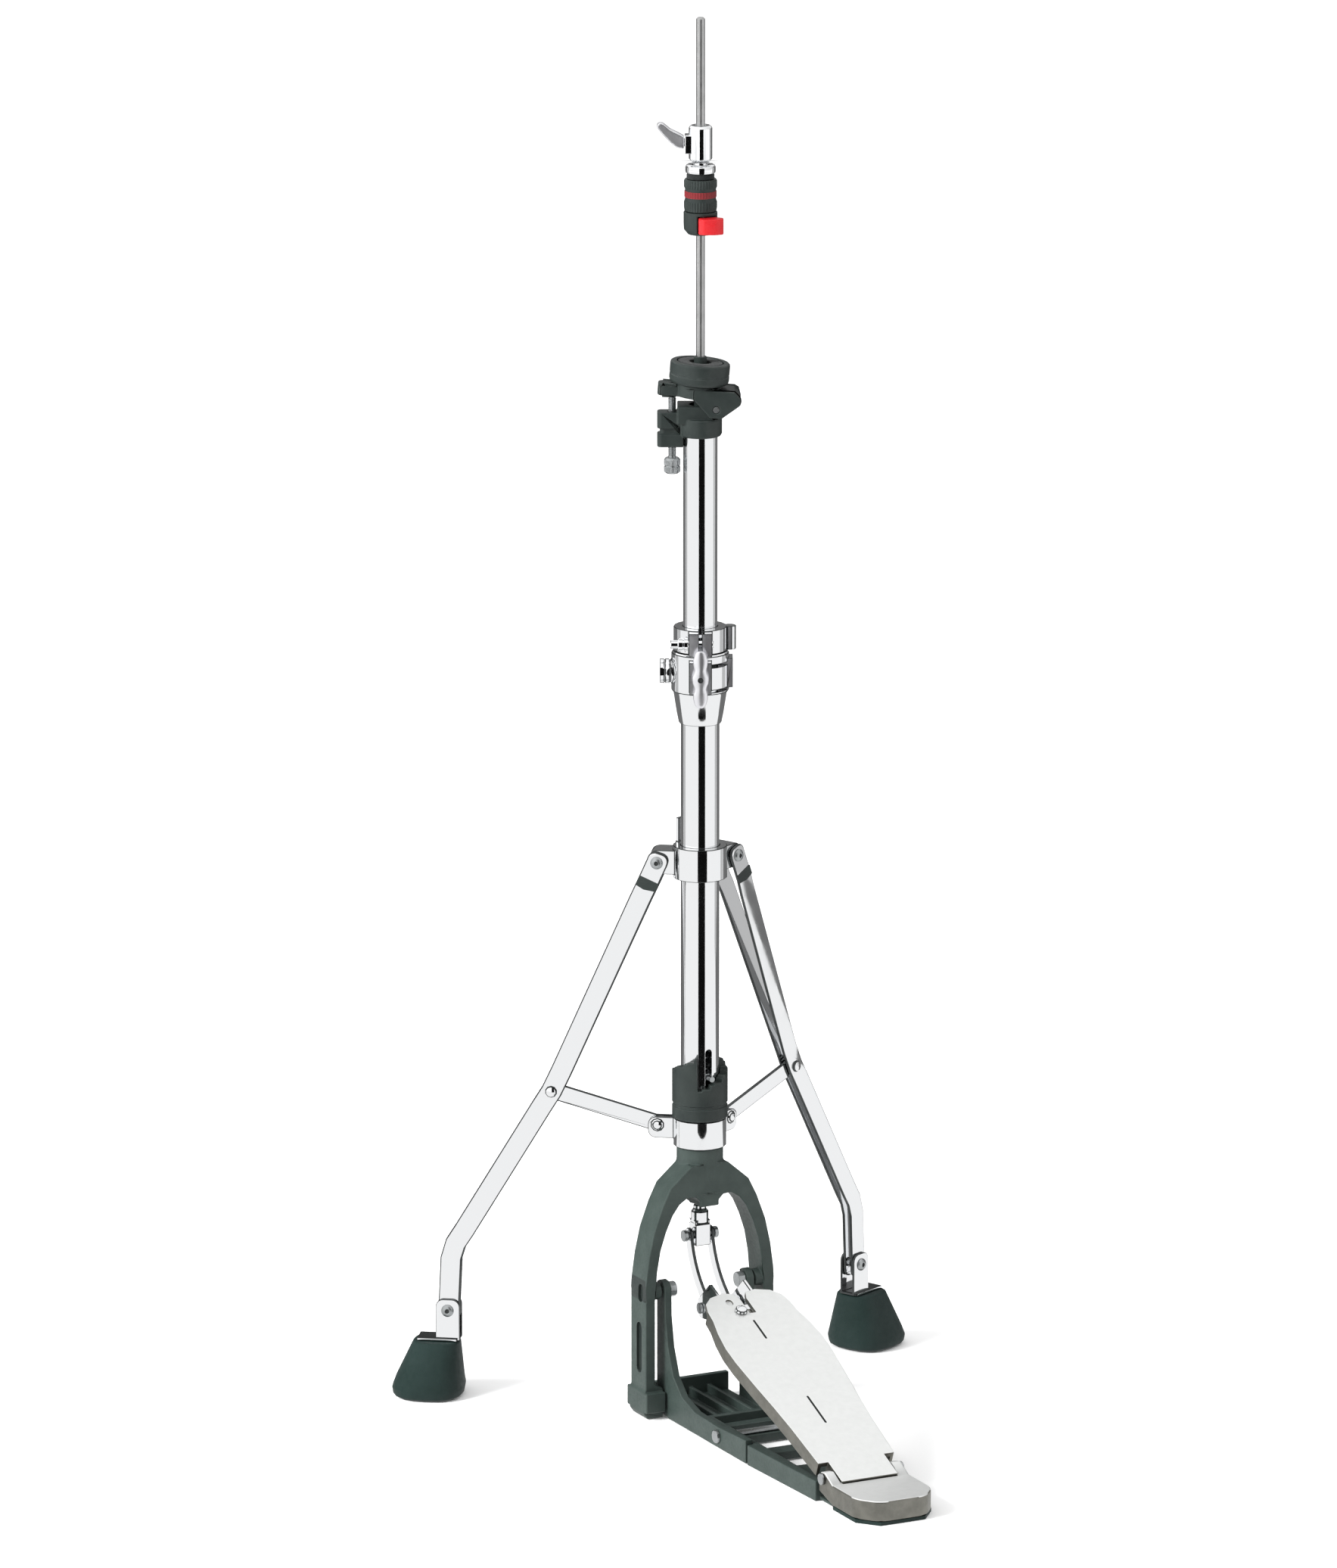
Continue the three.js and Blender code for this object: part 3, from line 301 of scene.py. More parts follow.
def baked(bm, *changes):
    """Applies modifiers to a bmesh. Each change is a kind and its settings."""
    mesh = bpy.data.meshes.new("work")
    bm.to_mesh(mesh)
    bm.free()
    work = bpy.data.objects.new("work", mesh)
    bpy.context.scene.collection.objects.link(work)
    for kind, settings in changes:
        modifier = work.modifiers.new(kind.lower(), kind)
        for key, value in settings.items():
            setattr(modifier, key, value)
    bpy.context.view_layer.update()
    graph = bpy.context.evaluated_depsgraph_get()
    result = bpy.data.meshes.new_from_object(work.evaluated_get(graph))
    bm = bmesh.new()
    bm.from_mesh(result)
    bpy.data.objects.remove(work)
    bpy.data.meshes.remove(mesh)
    bpy.data.meshes.remove(result)
    return bm


def carved(bm, *cutters):
    """Takes the cutters, given as bmeshes, out of the first body."""
    for cutter in cutters:
        mesh = bpy.data.meshes.new("cutter")
        bmesh.ops.recalc_face_normals(cutter, faces=cutter.faces)
        cutter.to_mesh(mesh)
        cutter.free()
        tool = bpy.data.objects.new("cutter", mesh)
        bpy.context.scene.collection.objects.link(tool)
        bm = baked(bm, ("BOOLEAN", {"object": tool, "operation": "DIFFERENCE", "solver": "EXACT"}))
        bpy.data.objects.remove(tool)
        bpy.data.meshes.remove(mesh)
    bmesh.ops.dissolve_limit(bm, angle_limit=FLAT_ANGLE, verts=bm.verts, edges=bm.edges)
    return bm


def lathe(profile, matrix=WORLD, steps=64, flutes=None, bm=None):
    """Body turned about Z from (radius, height) points in mm.

    A closed profile off the axis makes a ring.
    flutes maps a profile index to how far two columns in every four step in there.
    """
    bm = bm or bmesh.new()
    columns = []
    for step in range(steps):
        angle = 2 * math.pi * step / steps
        column = []
        for index, (radius, height) in enumerate(profile):
            inward = (flutes or {}).get(index, 0) if step % 4 in (2, 3) else 0
            reach = max(radius - inward, 0)
            point = Vector((reach * math.cos(angle), reach * math.sin(angle), height)) * MM
            column.append(bm.verts.new(matrix @ point))
        columns.append(column)
    for step in range(steps):
        here, there = columns[step], columns[(step + 1) % steps]
        for index in range(len(profile) - 1):
            bm.faces.new((here[index], there[index], there[index + 1], here[index + 1]))
    bmesh.ops.remove_doubles(bm, verts=bm.verts, dist=1e-6)
    bmesh.ops.dissolve_degenerate(bm, edges=bm.edges, dist=1e-7)
    return bm


def ring_faces(bm, here, there):
    """Joins two rings of vertices with a band of faces."""
    for index in range(len(here)):
        after = (index + 1) % len(here)
        bm.faces.new((here[index], here[after], there[after], there[index]))


def skinned(bm, rings):
    """Closes a row of rings into a body with both ends capped."""
    for here, there in zip(rings, rings[1:]):
        ring_faces(bm, here, there)
    bm.faces.new(rings[0][::-1])
    bm.faces.new(rings[-1])
    return bm


def prism(points, low, high, matrix=WORLD):
    """Outline in X and Y, in mm, raised from low to high."""
    bm = bmesh.new()
    rings = [[bm.verts.new(matrix @ (Vector((x, y, z)) * MM)) for x, y in points]
             for z in (low, high)]
    bm.faces.new(rings[0][::-1])
    bm.faces.new(rings[1])
    ring_faces(bm, *rings)
    return bm


def slot_outline(x0, y0, x1, y1, steps=6):
    """Long slot with round ends, as wide as its shorter side."""
    points = []
    if y1 - y0 > x1 - x0:
        half, middle = (x1 - x0) / 2, (x0 + x1) / 2
        for centre, start in ((y1 - half, 0), (y0 + half, 180)):
            for step in range(steps + 1):
                angle = math.radians(start + 180 * step / steps)
                points.append((middle + half * math.cos(angle), centre + half * math.sin(angle)))
    else:
        points = [(y, x) for x, y in slot_outline(y0, x0, y1, x1, steps)][::-1]
    return points


def paint(bm, index, test):
    """Gives the faces that pass the test the material slot with this index."""
    bm.normal_update()
    for face in bm.faces:
        if test(face):
            face.material_index = index


def local_normal(face, matrix):
    return matrix.to_3x3().inverted() @ face.normal


def local_centre(face, matrix):
    return (matrix.inverted() @ face.calc_center_median()) / MM


def cad_mesh(node):
    """The node's solid with its coplanar triangles joined."""
    bm = bmesh.new()
    bm.from_mesh(frame["nodes"][node].data)
    bmesh.ops.remove_doubles(bm, verts=bm.verts, dist=1e-6)
    bmesh.ops.dissolve_limit(bm, angle_limit=FLAT_ANGLE, verts=bm.verts, edges=bm.edges)
    return bm


def stand_in(node, bm, materials, suffix="detail", sharp=35, bevel=0):
    """Finer piece that takes the place of one CAD node, on its body."""
    done.add(node)
    return make_object(f"{node}_{suffix}", bm, materials, BODY_OF[node], [node],
                       sharp, bevel)


def edged(node, matrix, bevel, face_axis=1, ends=None, radius=6):
    """Strap or plate whose cut edges and their rounding get a painted dark reflection, darker than its polished
    faces.
    """
    bm = cad_mesh(node)
    if ends:
        round_corners(bm, matrix, face_axis, radius, ends)
    inverse = matrix.inverted()

    def off_the_rivet(edge):
        middle = inverse @ ((edge.verts[0].co + edge.verts[1].co) / 2) / MM
        return math.hypot(middle.x - BRACE_RIVET[0], middle.z - BRACE_RIVET[1]) > RIVET_HEAD

    # The side faces and the bevels get the painted dark reflection.
    paint(bm, 1, lambda face: abs(local_normal(face, matrix)[face_axis]) < 0.7)
    bevel_edges(bm, bevel, material=1, chosen=off_the_rivet)
    stand_in(node, bm, [CHROME, PAINTED_DARK_METAL])


def round_corners(bm, matrix, axis, radius, where):
    """Rounds the corners whose short edge runs along one local axis, for plates with round ends."""
    inverse = matrix.inverted()

    def chosen(edge):
        first, second = ((inverse @ vertex.co) / MM for vertex in edge.verts)
        run = (second - first).normalized()
        return abs(run[axis]) > 0.98 and where((first + second) / 2)

    bevel_edges(bm, radius, 5, angle=50, chosen=chosen)


def turned_piece(node, suffix, profile, material, matrix=WORLD, steps=64, flutes=None):
    stand_in(node, lathe(profile, matrix, steps, flutes), material, suffix, TURNED_SHARP)


# ---------------------------------------------------------------- tubes and rods

ROD = (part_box("upper_pull_rod")[1][0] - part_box("upper_pull_rod")[0][0]) / 2 / MM
ROD_LOW, ROD_TOP = (corner[2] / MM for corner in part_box("upper_pull_rod"))


def rounded_tube(outer, inner, low, high, soft=0.35):
    return [(inner, low + soft), (inner + soft, low), (outer - soft, low), (outer, low + soft),
            (outer, high - soft), (outer - soft, high), (inner + soft, high), (inner, high - soft),
            (inner, low + soft)]


turned_piece("upper_pull_rod", "ground",
             [(0, ROD_LOW), (ROD, ROD_LOW), (ROD, ROD_TOP - 1.2), (ROD - 1.2, ROD_TOP),
              (0, ROD_TOP)], SATIN)
turned_piece("upper_tube", "plated", rounded_tube(13.2, 11.8, 380, 786), CHROME, steps=96)

LOWER_OUTER, LOWER_INNER = 14.9, 13.65
lower = lathe(rounded_tube(LOWER_OUTER, LOWER_INNER, 199, 583), steps=96)
pin_slot = prism(slot_outline(-2.9, 258, 2.9, 291), -20, 20, turn(90, "X"))
lower = carved(lower, pin_slot)
# The bore's faces get painted shade, in the dark edge metal.
paint(lower, 1, lambda face: math.hypot(*face.calc_center_median()[:2]) < (LOWER_INNER + 0.15) * MM)
stand_in("lower_tube", lower, [CHROME, PAINTED_DARK_METAL], "plated")


# ---------------------------------------------------------------- legs

HUB_RIVET = (32, 438)
FOOT_SCREW = (198, 70)

for side, azimuth in LEG_AZIMUTHS.items():
    around = turn(azimuth, "Z")
    for face in ("front", "rear"):
        edged(f"leg_strap_{face}_{side}", around, 0.95,
              ends=lambda spot: spot.z > HUB_RIVET[1] or spot.z < 66)
    edged(f"leg_brace_{side}", around, 0.9, ends=lambda spot: True, radius=5)
    edged(f"foot_bracket_{side}", around, 0.5, ends=lambda spot: spot.z > 75)


def dark_rimmed(node, lug_end=None):
    """Polished fitting whose rounded edges get a painted dark reflection. Its leg lugs end at lug_end from the
    axis.
    """
    bm = cad_mesh(node)
    if lug_end:
        for azimuth in LEG_AZIMUTHS.values():
            round_corners(bm, turn(azimuth, "Z"), 1, 6,
                          lambda spot: spot.x > lug_end - 0.5 and abs(spot.y) < 11)
    bevel_edges(bm, 0.6, material=1)
    stand_in(node, bm, [CHROME, PAINTED_DARK_METAL])


dark_rimmed("leg_hub", lug_end=38)
dark_rimmed("leg_collar", lug_end=40)
dark_rimmed("rod_fork")
dark_rimmed("toe_clevis")
for side in ("left", "right"):
    edged(f"link_strap_{side}", WORLD, 0.6, face_axis=0)


def drilled_rivet(node, azimuth, out, height, grip):
    """Rivet along the leg's Y, with a drilled centre in each head whose faces get painted shade."""
    head = [(0, 1.3), (1.7, 1.3), (1.7, 2.1), (2.1, 2.4), (3.5, 2.1), (4.7, 1.0), (4.94, 0.3),
            (2.6, 0.3)]
    profile = [(radius, -grip - rise) for radius, rise in head]
    profile += [(radius, grip + rise) for radius, rise in reversed(head)]
    place = turn(azimuth, "Z") @ shift(out, 0, height) @ turn(90, "X")
    bm = lathe(profile, place, 32)
    paint(bm, 1, lambda face: math.hypot(*local_centre(face, place)[:2]) < 1.75
          and abs(local_centre(face, place).z) > grip + 1)
    stand_in(node, bm, [STEEL, PAINTED_RECESS_SHADE], "drilled")


def dark_bend_reflection(side, azimuth):
    """Thin black sheet across the outer face of the front strap, just under the hub: a painted dark reflection of
    the strap's bend, not a real pad.
    """
    along, across = Vector((0.406, -0.914)), Vector((0.914, 0.406))
    middle = Vector((39.6, 421.0))
    outline = [middle + across * (8.1 * a) + along * (4.0 * b)
               for a, b in ((-1, -1), (1, -1), (1, 1), (0.1, 1.25), (-1, 0.7))]
    face = -1 if side == "left" else 1
    low, high = sorted((face * 12.5, face * 13.2))
    bm = prism([tuple(point) for point in outline], low, high, turn(azimuth, "Z") @ turn(90, "X"))
    # The black nylon on this sheet is the painted dark reflection.
    make_object(f"dark_bend_reflection_{side}", bm, PLASTIC, f"leg_{side}", bevel=0.2)


for side, azimuth in LEG_AZIMUTHS.items():
    dark_bend_reflection(side, azimuth)
    drilled_rivet(f"hub_rivet_{side}", azimuth, *HUB_RIVET, 12.6)
    drilled_rivet(f"foot_screw_{side}", azimuth, *FOOT_SCREW, 6.9)


# ---------------------------------------------------------------- pedal frame

SIDEWAYS = turn(90, "Y") @ turn(90, "Z")
POST_FACE = 56.0


def frame_recess(side, y0, y1, z0, z1, depth):
    """Shallow slot in the outer face of a post, drawn in Y and Z."""
    low, high = sorted((side * (POST_FACE - depth), side * (POST_FACE + 3)))
    return prism(slot_outline(y0, z0, y1, z1), low, high, SIDEWAYS)


frame_body = carved(cad_mesh("pedal_frame"),
                    *[frame_recess(side, -11, -2, 36, 77, 2.2) for side in (-1, 1)],
                    *[frame_recess(side, -12.5, -4.5, 93.5, 108, 2.6) for side in (-1, 1)])


def in_frame_recess(face):
    x, y, z = face.calc_center_median() / MM
    return POST_FACE - 3 < abs(x) < POST_FACE - 0.05 and -12.6 < y < -1.9 and 35 < z < 109


# The recess faces get the darker black nylon: painted shade in the recesses.
paint(frame_body, 1, in_frame_recess)
bevel_edges(frame_body, 1.1, 3,
            chosen=lambda edge: not any(face.material_index for face in edge.link_faces))
stand_in("pedal_frame", frame_body, [CAST, PLASTIC])


# ---------------------------------------------------------------- footboard and heel plate

deck = carved(cad_mesh("footboard"),
              prism(slot_outline(-4.9, 163, -3.1, 187), 5.4, 9, BOARD),
              prism(slot_outline(-4.9, 56, -3.1, 90), 5.4, 9, BOARD),
              prism(slot_outline(-15.5, 208, -10.5, 215), 4.6, 9, BOARD))


def in_groove(face):
    x, y, z = local_centre(face, BOARD)
    return 5.3 < z < 6.19 and -5 < x < -3 and (162 < y < 188 or 55 < y < 91)


# Faces that don't face up get the darker flank aluminium: painted shade.
paint(deck, 1, lambda face: local_normal(face, BOARD).z < 0.5)
# The groove floors get painted shade.
paint(deck, 2, in_groove)
bevel_edges(deck, 0.5,
            chosen=lambda edge: not any(face.material_index == 2 for face in edge.link_faces))
stand_in("footboard", deck, [BOARD_METAL, SHADED_FLANK_METAL, PAINTED_RECESS_SHADE])

heel = cad_mesh("heel_plate")


def upright_front(edge):
    first, second = (vertex.co for vertex in edge.verts)
    flat = math.hypot(first.x - second.x, first.y - second.y)
    return flat < 1e-4 and max(first.y, second.y) < -0.3


bevel_edges(heel, 6.5, 5, chosen=upright_front)
# Faces that don't face up get the darker flank aluminium: painted shade.
paint(heel, 1, lambda face: face.normal.z < 0.5)
bevel_edges(heel, 1.3, 3, angle=40)
stand_in("heel_plate", heel, [BOARD_METAL, SHADED_FLANK_METAL])


# ---------------------------------------------------------------- tension sleeve

def stepped_sleeve():
    """Sleeve whose two ramps climb in notched steps, so the spring seat's pin can't slip."""
    inner, outer, low = 15.45, 21.6, 234.2
    low_step, high_step, start = 260.0, 285.5, -122
    columns, notches = 168, 6
    ramp = columns // 2
    bm = bmesh.new()
    rings = []
    for column in range(columns):
        share = (column % ramp) / (ramp - 1)
        along = share * notches
        notch = min(int(along), notches - 1)
        within = along - notch
        height = low_step + (high_step - low_step) * (notch + 0.12) / notches
        if within < 0.3:
            height -= 1.4
        if column % ramp > ramp - 4:
            height = high_step
        angle = math.radians(start + 360 * column / columns)
        chamfer = 0.7
        profile = [(inner, low), (outer - chamfer, low), (outer, low + chamfer), (outer, 243.4),
                   (outer - 0.9, 244.2), (outer - 0.9, 246), (outer, 246.8),
                   (outer, height - chamfer), (outer - chamfer, height), (inner, height)]
        around = (math.cos(angle), math.sin(angle))
        rings.append([bm.verts.new(Vector((radius * around[0], radius * around[1], z)) * MM)
                      for radius, z in profile])
    for column in range(columns):
        here, there = rings[column], rings[(column + 1) % columns]
        for index in range(len(here)):
            after = (index + 1) % len(here)
            bm.faces.new((here[index], there[index], there[after], here[after]))
    return bm


stand_in("tension_sleeve", stepped_sleeve(), PLASTIC, "stepped", 28)


# ---------------------------------------------------------------- height clamp and memory lock

ACROSS = FRONT @ shift(0, 0, 588.5) @ turn(90, "X")
grooves = [lathe([(8.7, place), (12, place), (12, place + 1.1), (8.7, place + 1.1), (8.7, place)],
                 ACROSS, 32) for place in (22.6, 26.6)]
for node, bm, bevel, angle in (
        ("height_clamp", carved(cad_mesh("height_clamp"), *grooves), 0.45, 34),
        ("memory_lock", cad_mesh("memory_lock"), 0.5, 30)):
    paint(bm, 2, lambda face: local_normal(face, FRONT).x > 0.985)
    # The bevels get the painted dark reflection.
    bevel_edges(bm, bevel, angle=angle, material=1)
    stand_in(node, bm, [CHROME, PAINTED_DARK_METAL, SOFT_CHROME])

WING = FRONT @ shift(33, 0, 589)


def wing_loft():
    """Two blades that swell out of a hub and taper to round tips, drawn up the blades' length."""
    blade = [(2.5, 6.2, 2.9), (5, 5.2, 2.9), (7.5, 4.4, 2.8), (11, 5.4, 2.7), (15, 5.6, 2.5),
             (19.5, 4.4, 2.0), (21.6, 3.0, 1.5), (22.4, 1.4, 0.8)]
    mirrored = [(-height, wide, thick) for height, wide, thick in reversed(blade)]
    sections = [*mirrored, (0, 6.4, 2.9), *blade]
    sides = 24
    bm = bmesh.new()
    rings = []
    for height, wide, thick in sections:
        angles = [2 * math.pi * side / sides for side in range(sides)]
        rings.append([bm.verts.new(WING @ (Vector((thick * math.cos(angle), wide * math.sin(angle),
                                                   height)) * MM)) for angle in angles])
    return skinned(bm, rings)


AXLE = WING @ turn(90, "Y")
wing = carved(wing_loft(), lathe([(0, 1.6), (2.2, 1.6), (2.2, 6), (0, 6)], AXLE, 20))
# The faces inside the hole get painted shade.
paint(wing, 1, lambda face: math.hypot(*local_centre(face, AXLE)[:2]) < 2.25
      and local_centre(face, AXLE).z > 1.5)
lathe([(0, -11), (3.8, -11), (3.8, -2.2), (0, -2.2)], AXLE, 32, bm=wing)
stand_in("height_wing_bolt", wing, [SOFT_CHROME, PAINTED_RECESS_SHADE], sharp=50)

KEY = FRONT @ shift(23, 0, 614.5) @ turn(90, "X")
turned_piece("memory_key_bolt", "detail",
             [(0, -10), (2.4, -10), (2.9, -9.5), (2.9, 9.4), (4.6, 9.4), (5, 9.8), (5, 12.2),
              (4.3, 12.6), (4.3, 13.6), (5, 14), (5, 16.7), (4.6, 17.2), (3.4, 17.5), (3.4, 22.4),
              (2.8, 23), (0, 23)],
             CHROME, KEY, 48)


# ---------------------------------------------------------------- seat

PIVOT_OUT, CUP_HEIGHT = 12, 33
tilt = math.radians(-SEAT_TILT)
CUP = SEAT @ shift(0, -(PIVOT_OUT + CUP_HEIGHT * math.sin(tilt)) / math.cos(tilt), 0)
turned_piece("seat_cup", "moulded",
             [(8.2, 16.9), (19.5, 16.9), (21.6, 17.5), (22.5, 18.6), (22.9, 20), (22.9, 23.4),
              (22.5, 23.8), (22.5, 24.6), (22.9, 25), (22.9, 31.6), (22.6, 32.7), (21.8, 33.4),
              (20.8, 33.6), (18.3, 33.6), (18, 33.2), (18, 27), (8.2, 27), (8.2, 16.9)],
             PLASTIC, CUP, 96)
turned_piece("seat_felt", "washer",
             [(8.2, 27.4), (17.6, 27.4), (17.6, 32.4), (16.9, 33.3), (15.6, 33.6), (9.4, 33.6),
              (8.5, 33.2), (8.2, 32.4), (8.2, 27.4)], FELT, CUP, 64)

THUMB = FRONT @ shift(0, -21.5, 0)
THREAD_LOW, THREAD_TURNS, THREAD_PITCH = 757, 38, 1.2
thread = []
for step in range(THREAD_TURNS):
    base = THREAD_LOW + step * THREAD_PITCH
    thread += [(3.0, base), (3.0, base + 0.35), (2.6, base + 0.6), (2.6, base + 0.85)]
turned_piece("tilt_thumb_screw", "knurled",
             [(0, 743.6), (4.6, 743.6), (6.3, 745), (6.3, 748.6), (5.7, 749), (5.7, 749.8),
              (6.3, 750.2), (6.3, 754.2), (5, 755.8), (3, 756), *thread, (2.8, 803.6), (2, 804.6),
              (0, 804.6)],
             STEEL, THUMB, 96, {2: 0.3, 3: 0.3, 6: 0.3, 7: 0.3})


def box_cutter(x0, x1, y0, y1, z0, z1):
    return prism([(x0, y0), (x1, y0), (x1, y1), (x0, y1)], z0, z1, FRONT)


base = carved(cad_mesh("seat_base"), box_cutter(-9, 9, -35, -31, 775.2, 779.4),
              box_cutter(5.7, 9, -32, -15.5, 775.2, 779.4),
              box_cutter(-9, -5.7, -32, -15.5, 775.2, 779.4))
round_corners(base, FRONT, 2, 3.4, lambda spot: spot.y < -30)
tilting = cad_mesh("seat_tilt_plate")
round_corners(tilting, SEAT, 2, 4.5, lambda spot: spot.y < -40)
round_corners(tilting, SEAT, 0, 3, lambda spot: spot.y > 10)
for node, bm in (("seat_base", base), ("seat_tilt_plate", tilting)):
    bevel_edges(bm, 0.9, 3)
    stand_in(node, bm, SEAT_CAST)


# ---------------------------------------------------------------- clutch

turned_piece("quick_release_body", "ribbed",
             [(6.4, 947.4), (11.6, 947.4), (12.2, 948), (12.6, 950.4), (12.6, 954.6), (12.2, 955.4),
              (11.8, 956.8), (11.8, 964.2), (12.2, 965.4), (12.6, 966.2), (12.6, 970.8),
              (11.8, 972), (6.4, 972), (6.4, 947.4)],
             PLASTIC, WORLD, 144, {3: 0.5, 4: 0.5, 9: 0.5, 10: 0.5})
red_band = lathe([(11.5, 958.2), (12.1, 958.2), (12.25, 958.6), (12.25, 962.6), (12.1, 963),
                  (11.5, 963), (11.5, 958.2)], WORLD, 144, {2: 0.35, 3: 0.35})
make_object("clutch_red_band", red_band, DARK_RED, BODY_OF["quick_release_body"],
            sharp=TURNED_SHARP)
turned_piece("clutch_flange_nut", "detail",
             [(6.4, 976.4), (10.4, 976.4), (11.4, 977.2), (11.6, 978), (11.6, 981), (11, 982.4),
              (10, 983), (6.4, 983), (6.4, 976.4)], CHROME)
turned_piece("clutch_felt", "washer",
             [(6.4, 972.4), (10.1, 972.4), (10.6, 973), (10.6, 975.3), (10.1, 976), (6.4, 976),
              (6.4, 972.4)], FELT)
clutch_wing = baked(cad_mesh("clutch_wing_screw"),
                    ("REMESH", {"mode": "VOXEL", "voxel_size": 0.45 * MM}),
                    ("SMOOTH", {"factor": 0.5, "iterations": 16}))
stand_in("clutch_wing_screw", clutch_wing, SOFT_CHROME, sharp=70)


# ---------------------------------------------------------------- return spring

SPRING_LOW, SPRING_HIGH = (corner[2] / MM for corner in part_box("return_spring"))


def round_wire_spring(coil, wire, turns, sides=8):
    """Compression spring of round wire, with a closed turn at each end."""
    low, high = SPRING_LOW + wire, SPRING_HIGH - wire
    steps = 24
    bm = bmesh.new()
    rings = []
    total = (turns + 2) * steps
    for step in range(total + 1):
        place = step / steps
        open_turn = min(max(place - 1, 0), turns) / turns
        angle = 2 * math.pi * place
        end_turn = min(place, 1) + max(place - 1 - turns, 0)
        height = low + end_turn * 2 * wire * 0.98 + (high - low - 4 * wire * 0.98) * open_turn
        out = Vector((math.cos(angle), math.sin(angle), 0))
        rings.append([bm.verts.new((out * (coil + wire * math.cos(2 * math.pi * side / sides))
                                    + Vector((0, 0, height + wire * math.sin(2 * math.pi * side
                                                                             / sides)))) * MM)
                      for side in range(sides)])
    return skinned(bm, rings)


spring = stand_in("return_spring", round_wire_spring(8.6, 0.95, 6), STEEL, "wound")
spring.modifiers.clear()
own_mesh(spring)

SMALL_BEVEL = 0.3
BEVELS = {"rear_base": 0.6, "front_base_plate": 0.8, "rubber_foot_left": 0.8,
          "rubber_foot_right": 0.8, "release_lever": 1.0, "clutch_sleeve": 0.5,
          "quick_release_housing": 0.6}
for node in frame["nodes"]:
    if node not in done:
        stand_in(node, cad_mesh(node), MATERIAL_OF_SLOT[SLOT_OF[node]],
                 bevel=BEVELS.get(node, SMALL_BEVEL))


# ---------------------------------------------------------------- floor, light and camera

def plane(name, width, height, matrix):
    bm = bmesh.new()
    corners = [(-0.5, -0.5), (0.5, -0.5), (0.5, 0.5), (-0.5, 0.5)]
    bm.faces.new([bm.verts.new((x * width, y * height, 0)) for x, y in corners])
    mesh = bpy.data.meshes.new(name)
    bm.to_mesh(mesh)
    bm.free()
    sheet = bpy.data.objects.new(name, mesh)
    bpy.context.scene.collection.objects.link(sheet)
    sheet.matrix_world = matrix
    return sheet


def emitter(name, value):
    material = bpy.data.materials.new(name)
    material.use_nodes = True
    tree = material.node_tree
    tree.nodes.clear()
    output = tree.nodes.new("ShaderNodeOutputMaterial")
    glow = tree.nodes.new("ShaderNodeEmission")
    glow.inputs["Color"].default_value = (value, value, value, 1)
    tree.links.new(glow.outputs[0], output.inputs["Surface"])
    return material


def reflection_only(sheet, value):
    """Gives the sheet a plain glow that only mirror-like surfaces see."""
    sheet.data.materials.append(emitter(sheet.name, value))
    sheet.visible_camera = False
    sheet.visible_diffuse = False
    sheet.visible_shadow = False
    sheet.visible_transmission = False


CAMERA_AZIMUTH = -26.9616
CAMERA_DISTANCE = 8.1923
CAMERA_HEIGHT = 2.5126
CAMERA_PITCH = 13.81
CAMERA_YAW = 0.17
LENS = 251.79


def reflected_card(name, azimuth, distance, width, height, value):
    """Upright card seen only in reflections.

    Azimuth 0 is the camera's side, positive to its right.
    """
    around = math.radians(CAMERA_AZIMUTH + azimuth)
    spot = Vector((math.sin(around), -math.cos(around), 0)) * distance + Vector((0, 0, height / 2))
    matrix = Matrix.Translation(spot) @ Matrix.Rotation(around, 4, "Z") @ turn(90, "X")
    reflection_only(plane(name, width, height, matrix), value)


CARD_HEIGHT = 1.3
reflected_card("dark_card", 10, 0.8, 0.58, CARD_HEIGHT, 0.004)
for side in (-1, 1):
    reflected_card(f"soft_card_{side + 1}", side * 106, 1.4, 0.4, CARD_HEIGHT, 0.5)
for turned in range(-56, 57, 14):
    reflected_card(f"grey_card_{turned + 56}", 180 + turned, 1.4, 0.36, CARD_HEIGHT, 0.16)


def reflected_ground(name, width, length, back, height, value):
    """Sheet just over the floor, seen only in reflections, centred this far behind the stand."""
    around = math.radians(CAMERA_AZIMUTH)
    spot = Vector((-math.sin(around), math.cos(around), 0)) * back + Vector((0, 0, height))
    sheet = plane(name, width, length, Matrix.Translation(spot) @ Matrix.Rotation(around, 4, "Z"))
    reflection_only(sheet, value)


reflected_ground("pale_ground", 9, 9, 0, 0.0003, 0.92)
reflected_ground("grey_ground", 2.8, 1.0, 0.88, 0.0006, 0.16)

floor = plane("floor", 80, 80, Matrix.Identity(4))
floor_material = new_material("pale_floor", (0.96, 0.96, 0.96), 0, 0.9)
floor.data.materials.append(floor_material)

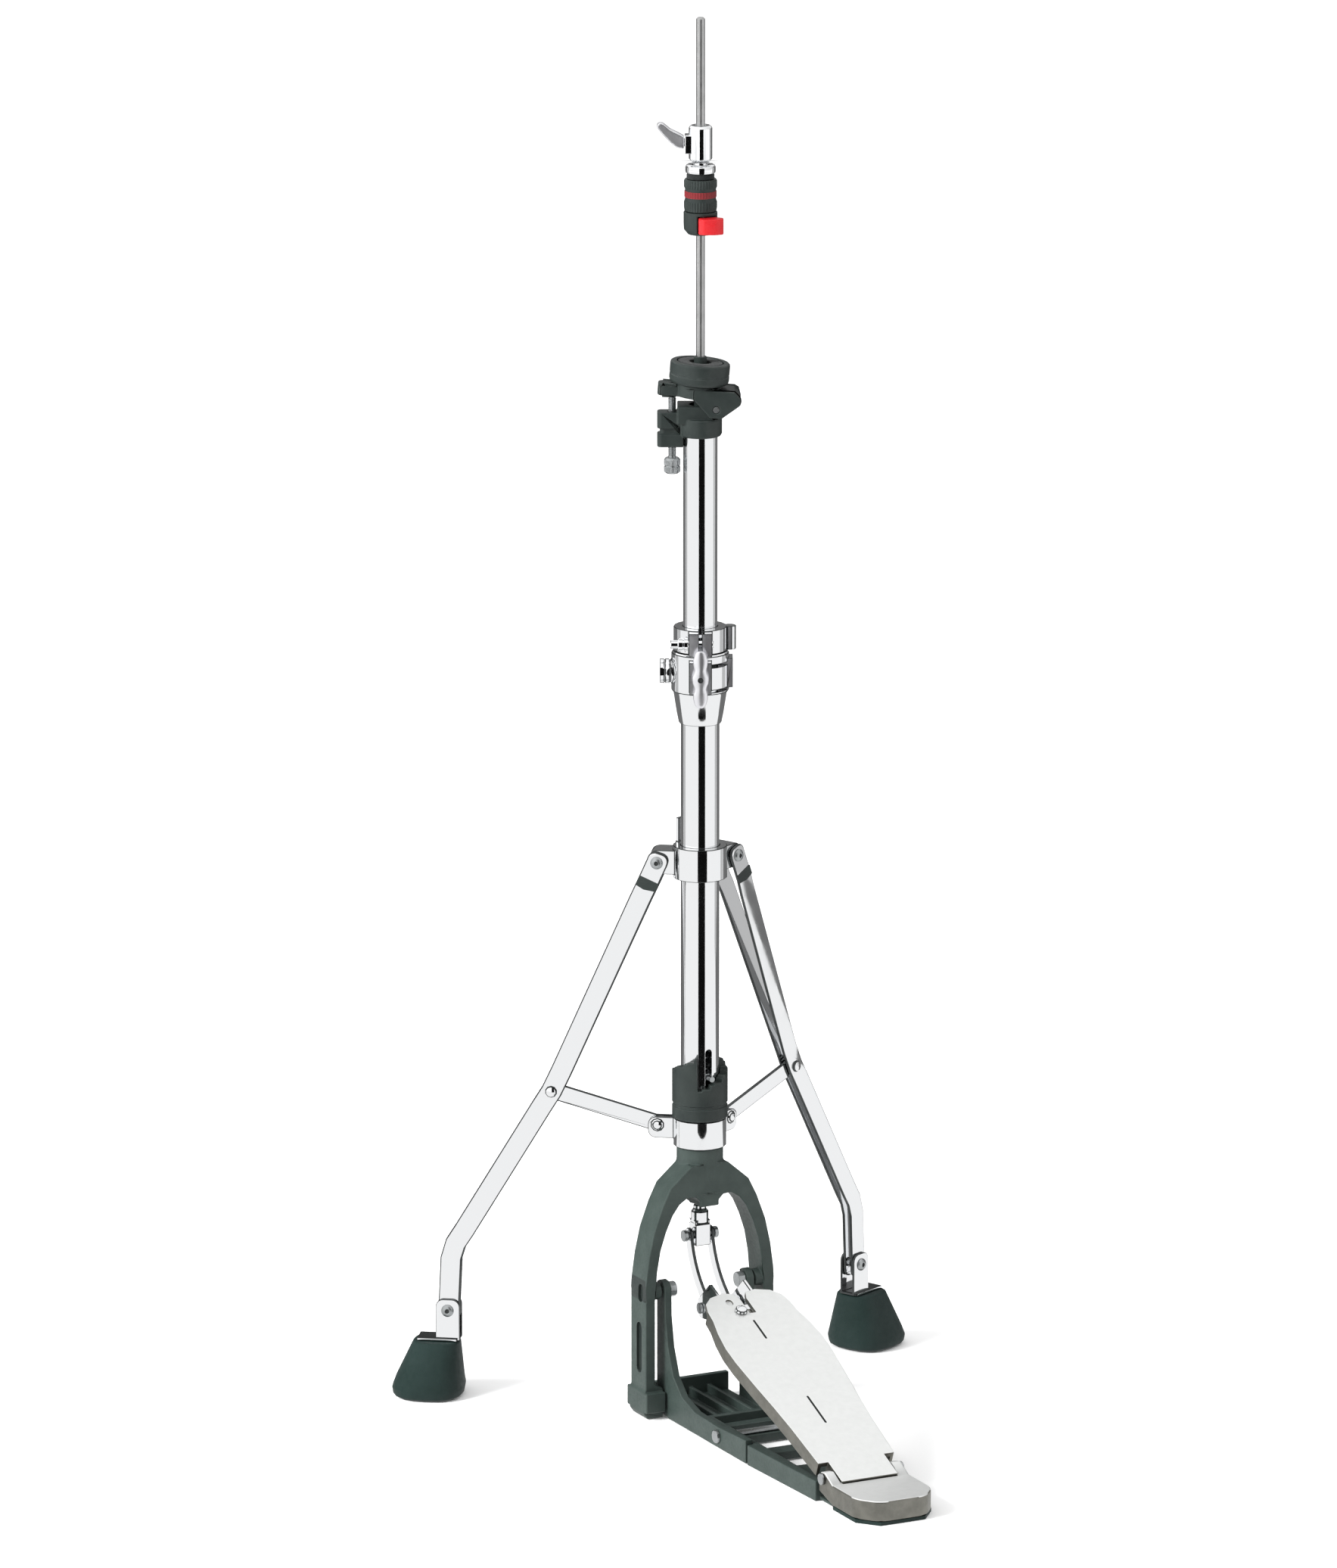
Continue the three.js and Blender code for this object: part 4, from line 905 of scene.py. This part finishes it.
world = bpy.data.worlds.new("studio")
world.use_nodes = True
sky = world.node_tree
direction = sky.nodes.new("ShaderNodeTexCoord")
facing = sky.nodes.new("ShaderNodeVectorMath")
facing.operation = "DOT_PRODUCT"
key_side = math.radians(CAMERA_AZIMUTH - 70)
facing.inputs[1].default_value = (math.sin(key_side) * 0.9, -math.cos(key_side) * 0.9, 0.43)
brightness = sky.nodes.new("ShaderNodeMapRange")
brightness.inputs["From Min"].default_value = -1
brightness.inputs["To Min"].default_value = 0.68
brightness.inputs["To Max"].default_value = 1.22
sky.links.new(direction.outputs["Generated"], facing.inputs[0])
sky.links.new(facing.outputs["Value"], brightness.inputs["Value"])
sky.links.new(brightness.outputs["Result"], sky.nodes["Background"].inputs["Strength"])
sky.nodes["Background"].inputs["Color"].default_value = (1, 1, 1, 1)
bpy.context.scene.world = world


def softbox(name, location, size, power):
    light = bpy.data.lights.new(name, "AREA")
    light.shape = "RECTANGLE"
    light.size, light.size_y = size
    light.energy = power
    lamp = bpy.data.objects.new(name, light)
    bpy.context.scene.collection.objects.link(lamp)
    lamp.location = location
    lamp.rotation_mode = "QUATERNION"
    lamp.rotation_quaternion = (Vector((0, 0, 0.45)) - Vector(location)).to_track_quat("-Z", "Y")
    lamp.visible_glossy = False


softbox("key_softbox", (-5.4, -0.2, 3.2), (2.4, 2.4), 620)
softbox("fill_softbox", (3.2, -4.4, 3.6), (2.4, 2.4), 40)

camera_data = bpy.data.cameras.new("camera")
camera_data.lens = LENS
camera_data.sensor_width = 36
camera_data.clip_end = 200
camera = bpy.data.objects.new("camera", camera_data)
bpy.context.scene.collection.objects.link(camera)
bearing = math.radians(CAMERA_AZIMUTH)
camera.location = (math.sin(bearing) * CAMERA_DISTANCE, -math.cos(bearing) * CAMERA_DISTANCE,
                   CAMERA_HEIGHT)
camera.rotation_euler = (math.radians(90 - CAMERA_PITCH), 0,
                         math.radians(CAMERA_AZIMUTH + CAMERA_YAW))
bpy.context.scene.camera = camera
bpy.context.scene.view_settings.view_transform = "Standard"
